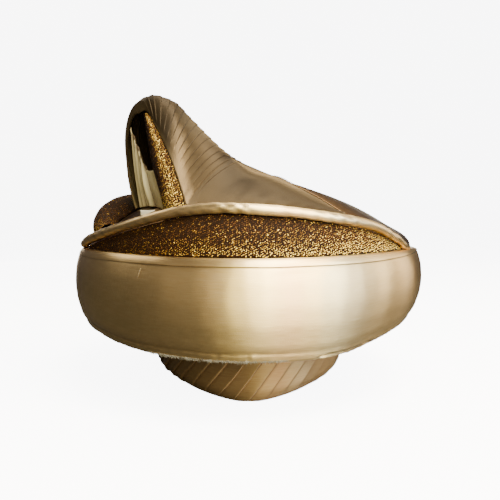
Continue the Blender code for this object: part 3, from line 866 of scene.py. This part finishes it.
def make_stray_fibres():
    """The raw whitish edge that frays below the hem, and a thread of lint on the band."""
    chance = random.Random(5)
    verts, faces = [], []
    for _ in range(FRAY_STRANDS):
        angle = chance.uniform(FRAY_FROM, FRAY_TO)
        thick = smooth((angle - FRAY_FROM) / 6.0) * smooth((FRAY_TO - angle) / 10.0)
        high = band_top(angle) - hem_height(angle)
        length = (0.4 + 1.1 * chance.random() ** 3) * mix(0.4, 1.0, thick)
        lean = chance.uniform(-1.0, 1.0)
        lift = chance.uniform(1.4, 2.4)
        path = [on_band(angle + 0.35 * lean * k, high - lift + 0.5 * k, 0.15) for k in range(3)]
        foot = path[-1]
        for k in range(1, 4):
            curl = chance.uniform(-0.25, 0.25)
            drop = Vector((0.35 * lean * length * k / 3 + curl, 0.3 * k, -length * k / 3))
            path.append(foot + drop + Vector((0.0, 0.0, -0.3)))
        fibre(verts, faces, path, FRAY_RADIUS)
    fibre(verts, faces, [on_band(row.angle, row.down, 0.20) for row in LINT], 0.08)
    return plain_mesh("stray_fibres", verts, faces, RAW)


# The web under the band


def make_web():
    """A gathered web that carries the band on the cap, and sags below the hem on the right."""
    columns, steps = 720, 18
    rows = [[] for _ in range(steps + 1)]
    folds = [[] for _ in range(steps + 1)]
    width = CAP_HALF_WIDTH + GAP + 0.4
    length = CAP_HALF_LENGTH + GAP + 0.4
    for column in range(columns):
        angle = 360.0 * column / columns
        top, hem = band_top(angle), hem_height(angle)
        share = 1.0 - WEB_ABOVE_HEM / (top - hem)
        outer = ring_point(angle, band_inside(share) - GAP - 0.4, mix(top, hem, share))
        inner = ring_point(angle, width, WEB_HEIGHT_AT_CAP, length / width)
        sag = WEB_SAG * smooth(1.0 - abs(wrapped(angle - WEB_SAG_ANGLE)) / WEB_SAG_SPREAD)
        near = outer.lerp(inner, 0.15) + Vector((0.0, 0.0, -sag))
        middle = outer.lerp(inner, 0.50) + Vector((0.0, 0.0, -0.5 * sag))
        pull = math.sin(math.radians(angle) * WEB_GATHERS + 2.2 * rough(angle * 0.2, 1.0))
        for step in range(steps + 1):
            t = step / steps
            place = bezier(outer, near, middle, inner, t)
            gather = mix(0.7, 1.5, bump(t, 0.75, 0.75)) * (0.6 + 0.5 * rough(angle * 0.4, t * 2.0))
            place.z += gather * pull + 0.7 * rough(angle * 0.6, t * 3.0, 5.0)
            rows[step].append(place)
            # Painted shade in the gathers' troughs, lighter on their crests.
            folds[step].append(0.75 + 0.35 * pull)
    grid, fold_shading = facing_out(rows, (0.0, 0.0, 200.0), folds, ring_columns=True)
    made = cloth("gathered_web", grid, CAP_SATIN, ring_columns=True, fold_shading=fold_shading, thickness=0.8)
    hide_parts("under_panel")
    return made


# Glitter cloth

FLECK_HEIGHT = 0.16
FLECK_SLANTS = (38.0, 38.0, 42.0, -48.0)
PANEL_SWELL = 0.075


def lattice(grid, pitch, seed):
    """Row and column of places on a grid of cloth, about a pitch apart each way."""
    chance = random.Random(seed)
    rows, columns = grid.shape[:2]
    across = lengths_along(grid, 1, False)
    steps = np.linalg.norm(np.diff(grid, axis=0), axis=2)
    down = np.vstack([np.zeros(columns), np.cumsum(steps, axis=0)])
    places = []
    for i in range(int(across[-1] / pitch)):
        reach = (i + 0.5) * pitch
        column = float(np.interp(reach, across, np.arange(columns)))
        here = down[:, int(round(column))]
        for k in range(int(here[-1] / pitch)):
            out = (k + 0.5 + 0.5 * (i % 2) * 0.9 + chance.uniform(-0.25, 0.25)) * pitch
            if out >= here[-1]:
                continue
            row = float(np.interp(out, here, np.arange(rows)))
            shift = chance.uniform(-0.25, 0.25) * pitch
            places.append((row, float(np.interp(reach + shift, across, np.arange(columns)))))
    return places


def flecks(name, grid, pitch, size, seed, painted_light):
    """Tilted four-sided flecks of metallic thread over a grid of cloth."""
    chance = random.Random(seed + 1)
    normals = normals_of(grid)
    verts, faces, tones = [], [], []
    for row, column in lattice(grid, pitch, seed):
        i = min(int(row), grid.shape[0] - 2)
        j = min(int(column), grid.shape[1] - 2)
        a, b = row - i, column - j
        low = grid[i, j] * (1 - b) + grid[i, j + 1] * b
        high = grid[i + 1, j] * (1 - b) + grid[i + 1, j + 1] * b
        place = Vector(low * (1 - a) + high * a)
        normal = Vector(normals[i, j])
        level = Vector(grid[i, j + 1] - grid[i, j]).normalized()
        up = normal.cross(level)
        slant = math.radians(chance.choice(FLECK_SLANTS) + chance.uniform(-22, 22))
        along = (level * math.cos(slant) + up * math.sin(slant)).normalized()
        tilt = Vector([chance.uniform(-0.30, 0.30) for _ in range(3)])
        along = (along + tilt.dot(along) * normal * 0.7).normalized()
        peak = (normal + tilt).normalized()
        beside = peak.cross(along).normalized()
        long = size * chance.uniform(0.75, 1.25)
        wide = 0.36 * size * chance.uniform(0.8, 1.2)
        top = len(verts) + 4
        sink = place - normal * 0.10
        verts += [sink + along * long / 2, sink + beside * wide / 2, sink - along * long / 2]
        verts += [sink - beside * wide / 2, place + peak * FLECK_HEIGHT]
        faces += [(top - 4 + side, top - 4 + (side + 1) % 4, top) for side in range(4)]
        # Each fleck's tone differs at random about the painted light of its place.
        tone = chance.gauss(painted_light(place, column / (grid.shape[1] - 1)), 0.22)
        tones += [min(1.0, max(0.0, tone))] * 5
    made = plain_mesh(name, verts, faces, METAL, rounded=False)
    made.data.attributes.new("tone", "FLOAT", "POINT").data.foreach_set("value", tones)
    return made


def make_glitter_panel():
    first, last = CRESCENT[0].angle, CRESCENT[-1].angle
    columns, steps = 360, 18
    rows = []
    for step in range(steps + 1):
        row = []
        for column in range(columns + 1):
            angle = mix(first, last, column / columns)
            rise = crescent_height(angle)
            high = rise * step / steps
            swell = PANEL_SWELL * rise * math.sin(math.pi * high / rise)
            swell += 0.25 * rough(angle * 0.2, high * 0.1)
            radius = CRESCENT_RADIUS - CRESCENT_LEAN * high + swell
            row.append(ring_point(angle, radius, band_top(angle) + GAP + high))
        rows.append(row)
    grid, _ = facing_out(rows, (0, 0, 60))
    made = cloth("glitter_cloth", grid, GROUND, thickness=1.6)
    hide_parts("glitter_panel")

    def painted_light(place, share):
        """Painted light: the flecks are painted brightest along the foot and towards the right."""
        low = 1.0 - (place.z - BAND_TOP) / 26.0
        # Painted highlight along the foot on the right.
        gleam = 0.55 * low**3 * smooth((place.x + 75.0) / 50.0)
        return 0.16 + 0.46 * low + gleam + 0.0031 * place.x

    return made, flecks("glitter_flecks", grid, pitch=1.55, size=2.4, seed=11, painted_light=painted_light)


# The rolled edge


def make_roll():
    stations, sides = 560, 22
    rows, folds = [], []
    for station in range(stations + 1):
        angle = mix(ROLL_START, ROLL_END, station / stations)
        radius, high = roll_centre(angle)
        size = roll_size(angle)
        arc = math.radians(angle) * DOME_RADIUS
        tucked = 1.0 - smooth(min(angle - ROLL_START, ROLL_END - angle) / 14.0)
        settled = 0.9 * (1.0 - smooth(crescent_height(angle) / 4.0))
        radius, high = radius - 2.5 * tucked, high - settled - 1.2 * tucked
        patch = smooth(0.5 + 1.6 * rough(arc * 0.035, 8.0))
        row, fold_shading = [], []
        for side in range(sides):
            turn = 2 * math.pi * (side + 0.5) / sides
            twist = math.sin(arc * 0.55 + 1.6 * turn + 2.5 * rough(arc * 0.05, 3.0))
            swell = 1.0 + 0.045 * twist * patch + 0.06 * rough(arc * 0.04, math.cos(turn))
            out = radius + ROLL_HALF_THICK * size * swell * math.cos(turn)
            up = high + ROLL_HALF_HIGH * size * swell * math.sin(turn)
            row.append(ring_point(angle, out, up))
            # Painted shade where the roll's twists turn in.
            fold_shading.append(1.0 - 0.22 * patch * smooth(-twist))
        rows.append(row)
        folds.append(fold_shading)
    grid, fold_shading = facing_out(rows, (0, 0, 128), folds, ring_columns=True)
    made = cloth("roll_cloth", grid, ROLL_SATIN, ring_columns=True, fold_shading=fold_shading)
    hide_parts("rolled_edge")
    return made


# The crown


def make_crown():
    """A dome of bronze satin in soft radial pleats, closed under the wrap."""
    columns = DOME_PLEATS * COLUMNS_A_PLEAT
    rows, folds = [], []
    for radius in (1.0, *np.linspace(6.0, 132.0, 56), *np.linspace(133.0, DOME_RADIUS, 16)):
        row, fold_shading = [], []
        fade = smooth(radius / 60.0) * smooth((DOME_RADIUS + 2.0 - radius) / 20.0)
        for column in range(columns):
            angle = 360.0 * column / columns
            drift = 0.4 * rough(column * 0.02, radius * 0.02)
            phase = (column / COLUMNS_A_PLEAT + 0.012 * radius + drift) % 1.0
            behind = smooth((abs(wrapped(angle + 10.0)) - 60.0) / 50.0)
            depth = mix(0.22, 0.9, behind) * fade
            high = dome_profile(radius)
            high += dome_lift(angle, high) - depth * (1.0 - knife_pleat(phase, 0.8))
            row.append(ring_point(angle, radius * dome_scale(angle), high))
            # Painted shade along each pleat's fold, deeper behind.
            fold_shading.append(1.0 - mix(0.35, 0.75, behind) * fade * bump(phase, 0.92, 0.12))
        rows.append(row)
        folds.append(fold_shading)
    grid, fold_shading = facing_out(rows, (0, 0, 0), folds, ring_columns=True)
    made = cloth("crown_cloth", grid, BRONZE, ring_columns=True, fold_shading=fold_shading, thickness=1.4)
    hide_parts("crown")
    return made


# The wrap

WRAP_PHASES = (0.0, 0.14, 0.28, 0.42, 0.56, 0.70, 0.80, 0.86, 0.90, 0.94, 0.97)
WRAP_FRONT_STEPS = 44
WRAP_BACK_STEPS = 34
WRAP_BACK_LENGTH = 30.0


def wrap_stations():
    """The wrap's sections: their share along it, and a pleat's lift and the painted shade of its crease
    there.
    """
    stations = [(0.0, 0.0, 0.0), (PLEATS_START / 2, 0.0, 0.0)]
    for pleat in range(PLEATS):
        for phase in WRAP_PHASES:
            share = mix(PLEATS_START, PLEATS_END, (pleat + phase) / PLEATS)
            depth = PLEAT_DEPTH * smooth((pleat + phase) / 1.5) * (1.0 + 0.3 * rough(pleat * 2.3, 1.0))
            stations.append((share, depth * knife_pleat(phase), bump(phase, 0.95, 0.09)))
    return stations + [(mix(PLEATS_END, 1.0, step / 70), 0.0, 0.0) for step in range(71)]


def edge_rise(share, reach):
    """How far the cloth swells beside its near edge, from its distance to that edge."""
    beside = smooth((share - 0.05) / 0.12) * (1.0 - 0.75 * smooth((share - 0.46) / 0.12))
    wide = mix(7.0, 16.0, smooth((share - 0.06) / 0.30))
    rise = math.sin(0.5 * math.pi * min(1.0, reach / wide))
    return EDGE_BULGE * beside * wide / 16.0 * rise * (1.0 - smooth((reach - wide) / 80.0))


def peak_shade(share, across):
    """Painted shade: the cloth is painted darker on the peak, less so along the mouth's edge and down the
    back.
    """
    shade = 0.80 + 0.12 * smooth((share - 0.02) / 0.06)
    shade *= mix(0.6, 1.0, smooth(across / 0.14)) * (1.0 - smooth((share - 0.17) / 0.15))
    return shade * (1.0 - smooth((across - 1.1) / 0.6))


def wrap_relief(share, lift, crease, column, front_length, place):
    """How far a point of the wrap stands out, and its fold shading value, which carries painted shade."""
    if column <= WRAP_FRONT_STEPS + 2:
        across = (column - 2) / WRAP_FRONT_STEPS
        strength = smooth((across - 0.06) / 0.26)
    else:
        across = 1.0 + (column - 2 - WRAP_FRONT_STEPS) / WRAP_BACK_STEPS
        strength = 1.0 - 0.6 * smooth(across - 1.2)
    offset = lift * strength
    if across < 1.0:
        offset += edge_rise(share, across * front_length)
    low = smooth(1.0 - across / 0.8) * smooth((share - 0.30) / 0.12)
    offset += 0.7 * low * rough(share * 26.0, across * 1.2, 3.0)
    offset += 0.35 * rough(*(0.03 * value for value in place)) * min(1.0, across * 4.0)
    # Painted shade in the pleats' creases and on the peak.
    dark = 1.0 - (1.0 - 0.75 * crease * strength) * (1.0 - peak_shade(share, across))
    if share > 0.46:
        from_edge = (2.0 - across) * WRAP_BACK_LENGTH
        hem = smooth((share - 0.5) / 0.08)
        offset += 0.5 * hem * (1.0 - smooth((from_edge - 2.6) / 0.6))
        # Painted shade along the far hem's fold and at its edge.
        dark = max(dark, 0.55 * hem * bump(from_edge, 3.2, 0.8), 0.6 * hem * bump(from_edge, 0.0, 0.9))
    return offset, 1.0 - dark


def make_wrap():
    """Knife pleats run from the mouth's edge over the ridge, and the rest is drawn smooth."""
    stations = wrap_stations()
    base = grid_of([wrap_section(row[0], WRAP_FRONT_STEPS, WRAP_BACK_STEPS) for row in stations])
    normals = normals_of(base)
    middle = len(base) // 3, WRAP_FRONT_STEPS // 2 + 2
    if (normals[middle] * (base[middle] - np.array((-40.0, -20.0, 150.0)))).sum() < 0:
        normals = -normals
    front = base[:, 2 : WRAP_FRONT_STEPS + 3]
    front_lengths = np.linalg.norm(np.diff(front, axis=1), axis=2).sum(axis=1)
    folds = np.ones(base.shape[:2])
    for row, (share, lift, crease) in enumerate(stations):
        for column in range(2, base.shape[1]):
            place = base[row, column]
            offset, shown = wrap_relief(share, lift, crease, column, front_lengths[row], place)
            base[row, column] += normals[row, column] * offset
            folds[row, column] = shown
    grid, fold_shading = facing_out(base, (-30.0, -20.0, 120.0), folds)
    made = cloth("wrap_cloth", grid, SATIN, fold_shading=fold_shading, thickness=1.2)
    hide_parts("crown_wrap")
    return made


STITCH_LENGTH = 2.0
STITCH_PITCH = 2.9
STITCH_RADIUS = 0.20
STITCH_RINGS = table(
    "share wide high",
    (0.0, 0.35, -0.1), (0.2, 0.9, 0.12), (0.5, 1.0, 0.2), (0.8, 0.9, 0.12), (1.0, 0.35, -0.1),
)


def stitches(name, path, normals):
    """Short raised stitches along a path of points."""
    reach, spots = 0.0, []
    for here, there, normal in zip(path, path[1:], normals):
        step = (there - here).length
        while reach < step:
            spots.append((here.lerp(there, reach / step), (there - here).normalized(), normal))
            reach += STITCH_PITCH
        reach -= step
    verts, faces = [], []
    for place, along, normal in spots:
        beside = normal.cross(along).normalized()
        start = len(verts)
        for row in STITCH_RINGS:
            centre = place + along * STITCH_LENGTH * row.share + normal * row.high
            for side in range(6):
                turn = math.pi * side / 3
                ring = beside * math.cos(turn) + normal * math.sin(turn)
                verts.append(centre + ring * STITCH_RADIUS * row.wide)
        faces += tube_faces(start, len(STITCH_RINGS), 6)
        faces.append(tuple(start + side for side in reversed(range(6))))
        faces.append(tuple(range(len(verts) - 6, len(verts))))
    return plain_mesh(name, verts, faces, STITCH)


SEAM_START = 0.52
SEAM_END = 0.995
SEAM_STEPS = 120
SEAM_LIFT = 0.75
SEAM_ROWS = (0.6, 2.2)


def make_seam():
    """Two rows of stitching along the wrap's far hem."""
    made, front_steps, back_steps = [], 8, 40
    for number, from_edge in enumerate(SEAM_ROWS):
        reach = (1.0 - from_edge / WRAP_BACK_LENGTH) * back_steps + front_steps + 2
        path, normals = [], []
        for step in range(SEAM_STEPS + 1):
            share = mix(SEAM_START, SEAM_END, step / SEAM_STEPS)
            section = wrap_section(share, front_steps, back_steps)
            index = min(int(reach), len(section) - 2)
            place = section[index].lerp(section[index + 1], reach - index)
            x, y = place.x, place.y
            slope_x = dome_height(x + 1, y) - dome_height(x - 1, y)
            slope_y = dome_height(x, y + 1) - dome_height(x, y - 1)
            normal = Vector((-slope_x / 2, -slope_y / 2, 1.0)).normalized()
            path.append(place + normal * SEAM_LIFT)
            normals.append(normal)
        made.append(stitches(f"seam_stitches_{number + 1}", path, normals))
    return made


# The hood's mouth


def make_mouth_facing():
    """A tapered strip of glitter cloth along the near edge of the mouth, swelling outwards."""
    inward = Vector((-0.74, 0.67, 0.0))
    outward = Vector((-0.67, -0.74, 0.0))
    stations, arc_points = 110, 26
    rows = []
    for station in range(stations + 1):
        up = 0.97 * station / stations
        start = wrap_front(PLEATED_SHARE * (1.0 - up)) + Vector((-0.6, 1.0, 0.0))
        width = facing_width(up)
        row = []
        for point in range(arc_points):
            t = point / (arc_points - 1)
            swell = FACING_BULGE * width * math.sin(math.pi * t) + 0.25 * rough(up * 14, t * 3)
            place = start + inward * width * t + outward * swell
            if station == 0:
                place.z = above_dome(place.x, place.y, 0.5)
            row.append(place)
        rows.append(row)
    grid, _ = facing_out(rows, (-50.0, -20.0, 190.0))
    made = cloth("facing_cloth", grid, GROUND, thickness=1.2)
    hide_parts("mouth_facing")

    def painted_light(place, share):
        """Painted shade: the flecks are painted dark towards the inside of the mouth, apart from the foot.
        """
        inner = mix(0.16, 0.80, smooth((168.0 - place.z) / 16.0))
        tone = mix(0.95, inner, smooth((share - 0.28) / 0.30)) - 0.25 * smooth((0.20 - share) / 0.12)
        return tone - 0.0042 * (place.z - 150.0)

    return made, flecks("facing_flecks", grid, pitch=1.45, size=2.3, seed=23, painted_light=painted_light)


def make_mouth_pleats():
    """A sheet with soft folds that stands across the lower part of the mouth."""
    outwards = Vector((-0.91, -0.41, 0.0))
    along_steps, up_steps = 240, 34
    rows, folds = [], []
    for step in range(along_steps + 1):
        along = step / along_steps
        low = MOUTH_LOW_FAR.lerp(MOUTH_LOW_NEAR, along)
        low.z = above_dome(low.x, low.y, 1.0)
        high = MOUTH_TOP_FAR.lerp(MOUTH_TOP_NEAR, along)
        high.z = fold_top(along)
        crease = max(bump(along, place, 0.046) for place in FOLD_CREASES)
        # Painted shade on folds that turn inwards and in their creases.
        shown = mix(0.30, 1.0, smooth((fold_out(along) + 1.6) / 2.6)) * (1.0 - 0.9 * crease)
        row = []
        for level in range(up_steps + 1):
            up = level / up_steps
            strength = mix(0.8, 0.35, up) + 0.6 * math.sin(math.pi * up)
            deep = 1.4 * crease * smooth((1.0 - up) / 0.25)
            out = fold_out(along) * strength + 0.2 * rough(along * 22.0, up * 2.0) - deep
            row.append(low.lerp(high, up) + outwards * out)
        rows.append(row)
        folds.append([shown] * len(row))
    grid, fold_shading = facing_out(rows, (-40.0, -20.0, 180.0), folds)
    made = cloth("mouth_folds", grid, FOLD_SATIN, fold_shading=fold_shading, thickness=1.0)
    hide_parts("mouth_pleats")
    return made


def make_hem_tab():
    """The corner of a raw-edged hem that shows at the foot of the mouth."""
    left = (ring_point(-35.0, 134.5, 146.4), ring_point(-34.5, 135.0, 141.5))
    right = (ring_point(-29.6, 134.2, 146.2), ring_point(-29.6, 134.6, 145.8))
    rows = []
    for up in range(6):
        start = left[1].lerp(left[0], up / 5)
        end = right[1].lerp(right[0], up / 5)
        rows.append([start.lerp(end, k / 14) + Vector((0, 0.4 * rough(k * 0.4, up), 0)) for k in range(15)])
    grid, _ = facing_out(rows, (0, 0, 140))
    return cloth("hem_tab", grid, RAW, thickness=0.5)


# The side roll

SIDE_ARC_STEPS = 36
SIDE_BASE_STEPS = 6
SIDE_STATIONS = 140


def side_roll_section(angle):
    """A round bulge that sits on the dome: its arc, then the dome's own line back under it."""
    radius, high, size = side_radius(angle), side_height(angle), side_size(angle)
    bearing = math.radians(angle)

    def at(turn, offset=0.0):
        reach = size + offset
        return radius + reach * math.cos(turn), high + reach * math.sin(turn)

    def dome_under(out):
        return above_dome(out * math.sin(bearing), -DEPTH * out * math.cos(bearing), 0.6)

    def contact(turn, step):
        while at(turn)[1] < dome_under(at(turn)[0]):
            turn += step
        return turn

    start = contact(math.radians(-75.0), 0.01)
    end = contact(math.radians(255.0), -0.01)
    section = []
    for i in range(SIDE_ARC_STEPS + 1):
        turn = mix(start, end, i / SIDE_ARC_STEPS)
        ease = math.sin(math.pi * i / SIDE_ARC_STEPS)
        gather = 0.5 * rough(angle * 0.35, turn * 0.8) + 0.25 * rough(angle * 0.9, turn)
        section.append(at(turn, gather * ease))
    outer, inner = section[0][0], section[-1][0]
    for i in range(1, SIDE_BASE_STEPS + 1):
        out = mix(inner, outer, i / (SIDE_BASE_STEPS + 1))
        section.append((out, dome_under(out)))
    return [ring_point(angle, out, up) for out, up in section]


def make_side_roll():
    first, last = SIDE_ROLL[0].angle, SIDE_ROLL[-1].angle
    stations = [mix(first, last, i / SIDE_STATIONS) for i in range(SIDE_STATIONS + 1)]
    rows = [side_roll_section(angle) for angle in stations]
    grid, _ = facing_out(rows, (-60.0, 20.0, 125.0), ring_columns=True)
    made = cloth("side_roll_cloth", grid, GROUND, ring_columns=True)
    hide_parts("side_roll")

    def painted_light(place, share):
        # Painted shade: the flecks are painted darker towards the roll's top.
        return max(0.12, -0.15 + 0.045 * (146.0 - place.z))

    outer = grid[:, : SIDE_ARC_STEPS + 1]
    return made, flecks("side_roll_flecks", outer, pitch=1.75, size=2.1, seed=37, painted_light=painted_light)


# The stage

BACKDROP = (8.0, 8.0, 8.1)
AMBIENT = (0.11, 0.10, 0.10)
FLOOR_HALF = 6000.0
LIGHT_AIM = Vector((0.0, 0.0, 0.12))
HUNG_DISTANCE = 1.5
STRAW = (1.0, 0.87, 0.66)
AMBER = (1.0, 0.88, 0.70)
HONEY = (1.0, 0.84, 0.58)
SAND = (1.0, 0.90, 0.70)

STRIPS = table(
    "name azimuth distance width height energy colour",
    ("strip_far_left", -62.0, 1.5, 0.6, 1.1, 0.35, STRAW),
    ("strip_low_left", -42.0, 1.5, 0.6, 1.1, 1.0, STRAW),
    ("strip_left", -20.0, 1.5, 0.35, 1.1, 1.8, STRAW),
    ("strip_middle", -5.0, 1.5, 0.35, 1.1, 8.0, (1.0, 0.95, 0.48)),
    ("strip_warm", 10.0, 1.5, 0.35, 1.1, 24.0, (1.0, 0.99, 0.72)),
    ("strip_pink", 25.0, 1.5, 0.35, 1.1, 22.0, (1.0, 0.80, 0.68)),
    ("strip_pale", 40.0, 1.5, 0.35, 1.1, 23.0, (1.0, 0.98, 0.78)),
    ("strip_cool", 55.0, 1.5, 0.35, 1.1, 23.0, (0.78, 0.90, 1.0)),
    ("strip_right", 70.0, 1.5, 0.35, 1.1, 8.0, (0.80, 0.86, 1.0)),
    ("strip_side", 90.0, 1.5, 0.35, 1.1, 7.5, (1.0, 0.94, 0.84)),
    ("strip_tan", 114.0, 1.5, 0.5, 1.1, 6.0, (1.0, 0.86, 0.66)),
    ("strip_back_right", 168.0, 1.8, 0.6, 0.5, 3.0, AMBER),
    ("strip_back_left", -160.0, 1.8, 0.6, 0.5, 2.5, AMBER),
)
HUNG = table(
    "name azimuth elevation size energy colour",
    ("top_low", 12.0, 48.0, 0.5, 16.0, (1.0, 0.95, 0.80)),
    ("top_front", 30.0, 65.0, 0.6, 36.0, (1.0, 0.95, 0.84)),
    ("top_right", 50.0, 50.0, 0.6, 24.0, (1.0, 0.80, 0.50)),
    ("top_side", 128.0, 50.0, 0.6, 5.0, HONEY),
    ("top_back", 170.0, 54.0, 0.6, 2.5, HONEY),
    ("top_left", -150.0, 72.0, 0.6, 5.0, SAND),
    ("top_far_left", -118.0, 46.0, 0.6, 6.0, SAND),
)


def make_stage():
    """A pale floor, which other rays than the camera's meet as a dark one."""
    material, tree, shader = new_material("floor", 0.9, 0.0)
    shader.inputs["Base Color"].default_value = (0.03, 0.03, 0.03, 1.0)
    shader.inputs["Specular IOR Level"].default_value = 0.0
    seen = tree.nodes.new("ShaderNodeBsdfPrincipled")
    seen.inputs["Base Color"].default_value = (0.7, 0.7, 0.7, 1.0)
    seen.inputs["Roughness"].default_value = 1.0
    seen.inputs["Specular IOR Level"].default_value = 0.0
    seen.inputs["Emission Color"].default_value = (*BACKDROP, 1.0)
    seen.inputs["Emission Strength"].default_value = 1.0
    rays = tree.nodes.new("ShaderNodeLightPath")
    pick = tree.nodes.new("ShaderNodeMixShader")
    put(tree, pick.inputs[0], rays.outputs["Is Camera Ray"])
    put(tree, pick.inputs[1], shader.outputs[0])
    put(tree, pick.inputs[2], seen.outputs[0])
    put(tree, tree.nodes["Material Output"].inputs["Surface"], pick.outputs[0])
    signs = ((-1, -1), (1, -1), (1, 1), (-1, 1))
    corners = [Vector((x * FLOOR_HALF, y * FLOOR_HALF, 0.0)) for x, y in signs]
    floor = plain_mesh("floor", corners, [(0, 1, 2, 3)], material, rounded=False)


def hung_light(name, azimuth, elevation, distance, width, height, energy, colour):
    """A soft panel of light that hangs round the turban and faces it."""
    turn, rise = math.radians(azimuth), math.radians(elevation)
    level = math.cos(rise)
    away = Vector((math.sin(turn) * level, -math.cos(turn) * level, math.sin(rise)))
    data = bpy.data.lights.new(name, "AREA")
    data.shape = "RECTANGLE"
    data.size, data.size_y = width, height
    data.energy = energy
    data.color = colour
    lamp = linked(name, data)
    lamp.location = LIGHT_AIM + away * distance
    lamp.rotation_euler = (-away).to_track_quat("-Z", "Y").to_euler()
    return lamp


def make_lights():
    """Upright strips of light that stand on the floor, and panels that hang above."""
    for row in STRIPS:
        size = row.width, row.height
        lamp = hung_light(row.name, row.azimuth, 0.0, row.distance, *size, row.energy, row.colour)
        lamp.location.z = 0.02 + row.height / 2
    for row in HUNG:
        size = row.size, row.size
        hung_light(row.name, row.azimuth, row.elevation, HUNG_DISTANCE, *size, row.energy, row.colour)

    world = bpy.data.worlds.new("studio")
    world.use_nodes = True
    tree = world.node_tree
    shader = tree.nodes["Background"]
    rays = tree.nodes.new("ShaderNodeLightPath")
    colour = blend_colours(tree, rays.outputs["Is Camera Ray"], AMBIENT, BACKDROP)
    put(tree, shader.inputs["Color"], colour)
    shader.inputs["Strength"].default_value = 1.0
    bpy.context.scene.world = world


VIEW_DISTANCE = 0.560
VIEW_HEIGHT = 0.138
SENSOR_WIDTH = 36.0
PHOTO_PIXELS = 500.0
FOCAL_PIXELS = 620.0
SHIFT_PIXELS = 1.3
TILT_PIXELS = 28.0


def make_camera():
    """The photograph's view: in front of the middle, above the band, tilted a little down."""
    data = bpy.data.cameras.new("camera")
    data.sensor_width = SENSOR_WIDTH
    data.lens = SENSOR_WIDTH * FOCAL_PIXELS / PHOTO_PIXELS
    data.shift_x = SHIFT_PIXELS / PHOTO_PIXELS
    data.clip_start = 0.01
    camera = linked("camera", data)
    camera.location = (0.0, -VIEW_DISTANCE, VIEW_HEIGHT)
    camera.rotation_euler = (math.pi / 2 - math.atan(TILT_PIXELS / FOCAL_PIXELS), 0.0, 0.0)
    bpy.context.scene.camera = camera


# The whole


def main():
    make_camera()
    make_lights()
    make_stage()
    cap = make_cap()
    sweatband = make_sweatband()
    band = make_band()
    fibres = make_stray_fibres()
    web = make_web()
    panel, panel_flecks = make_glitter_panel()
    roll = make_roll()
    crown = make_crown()
    wrap = make_wrap()
    seam = make_seam()
    facing, facing_flecks = make_mouth_facing()
    folds = make_mouth_pleats()
    tab = make_hem_tab()
    side, side_flecks = make_side_roll()

    slots = {
        "champagne_satin": (cap, sweatband, web, wrap, *seam),
        "pale_satin": (band, fibres, roll, folds, tab),
        "bronze_satin": (crown,),
        "gold_glitter": (panel, panel_flecks, facing, facing_flecks, side, side_flecks),
    }
    for name, pieces in slots.items():
        for piece in pieces:
            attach(piece, "root")


main()
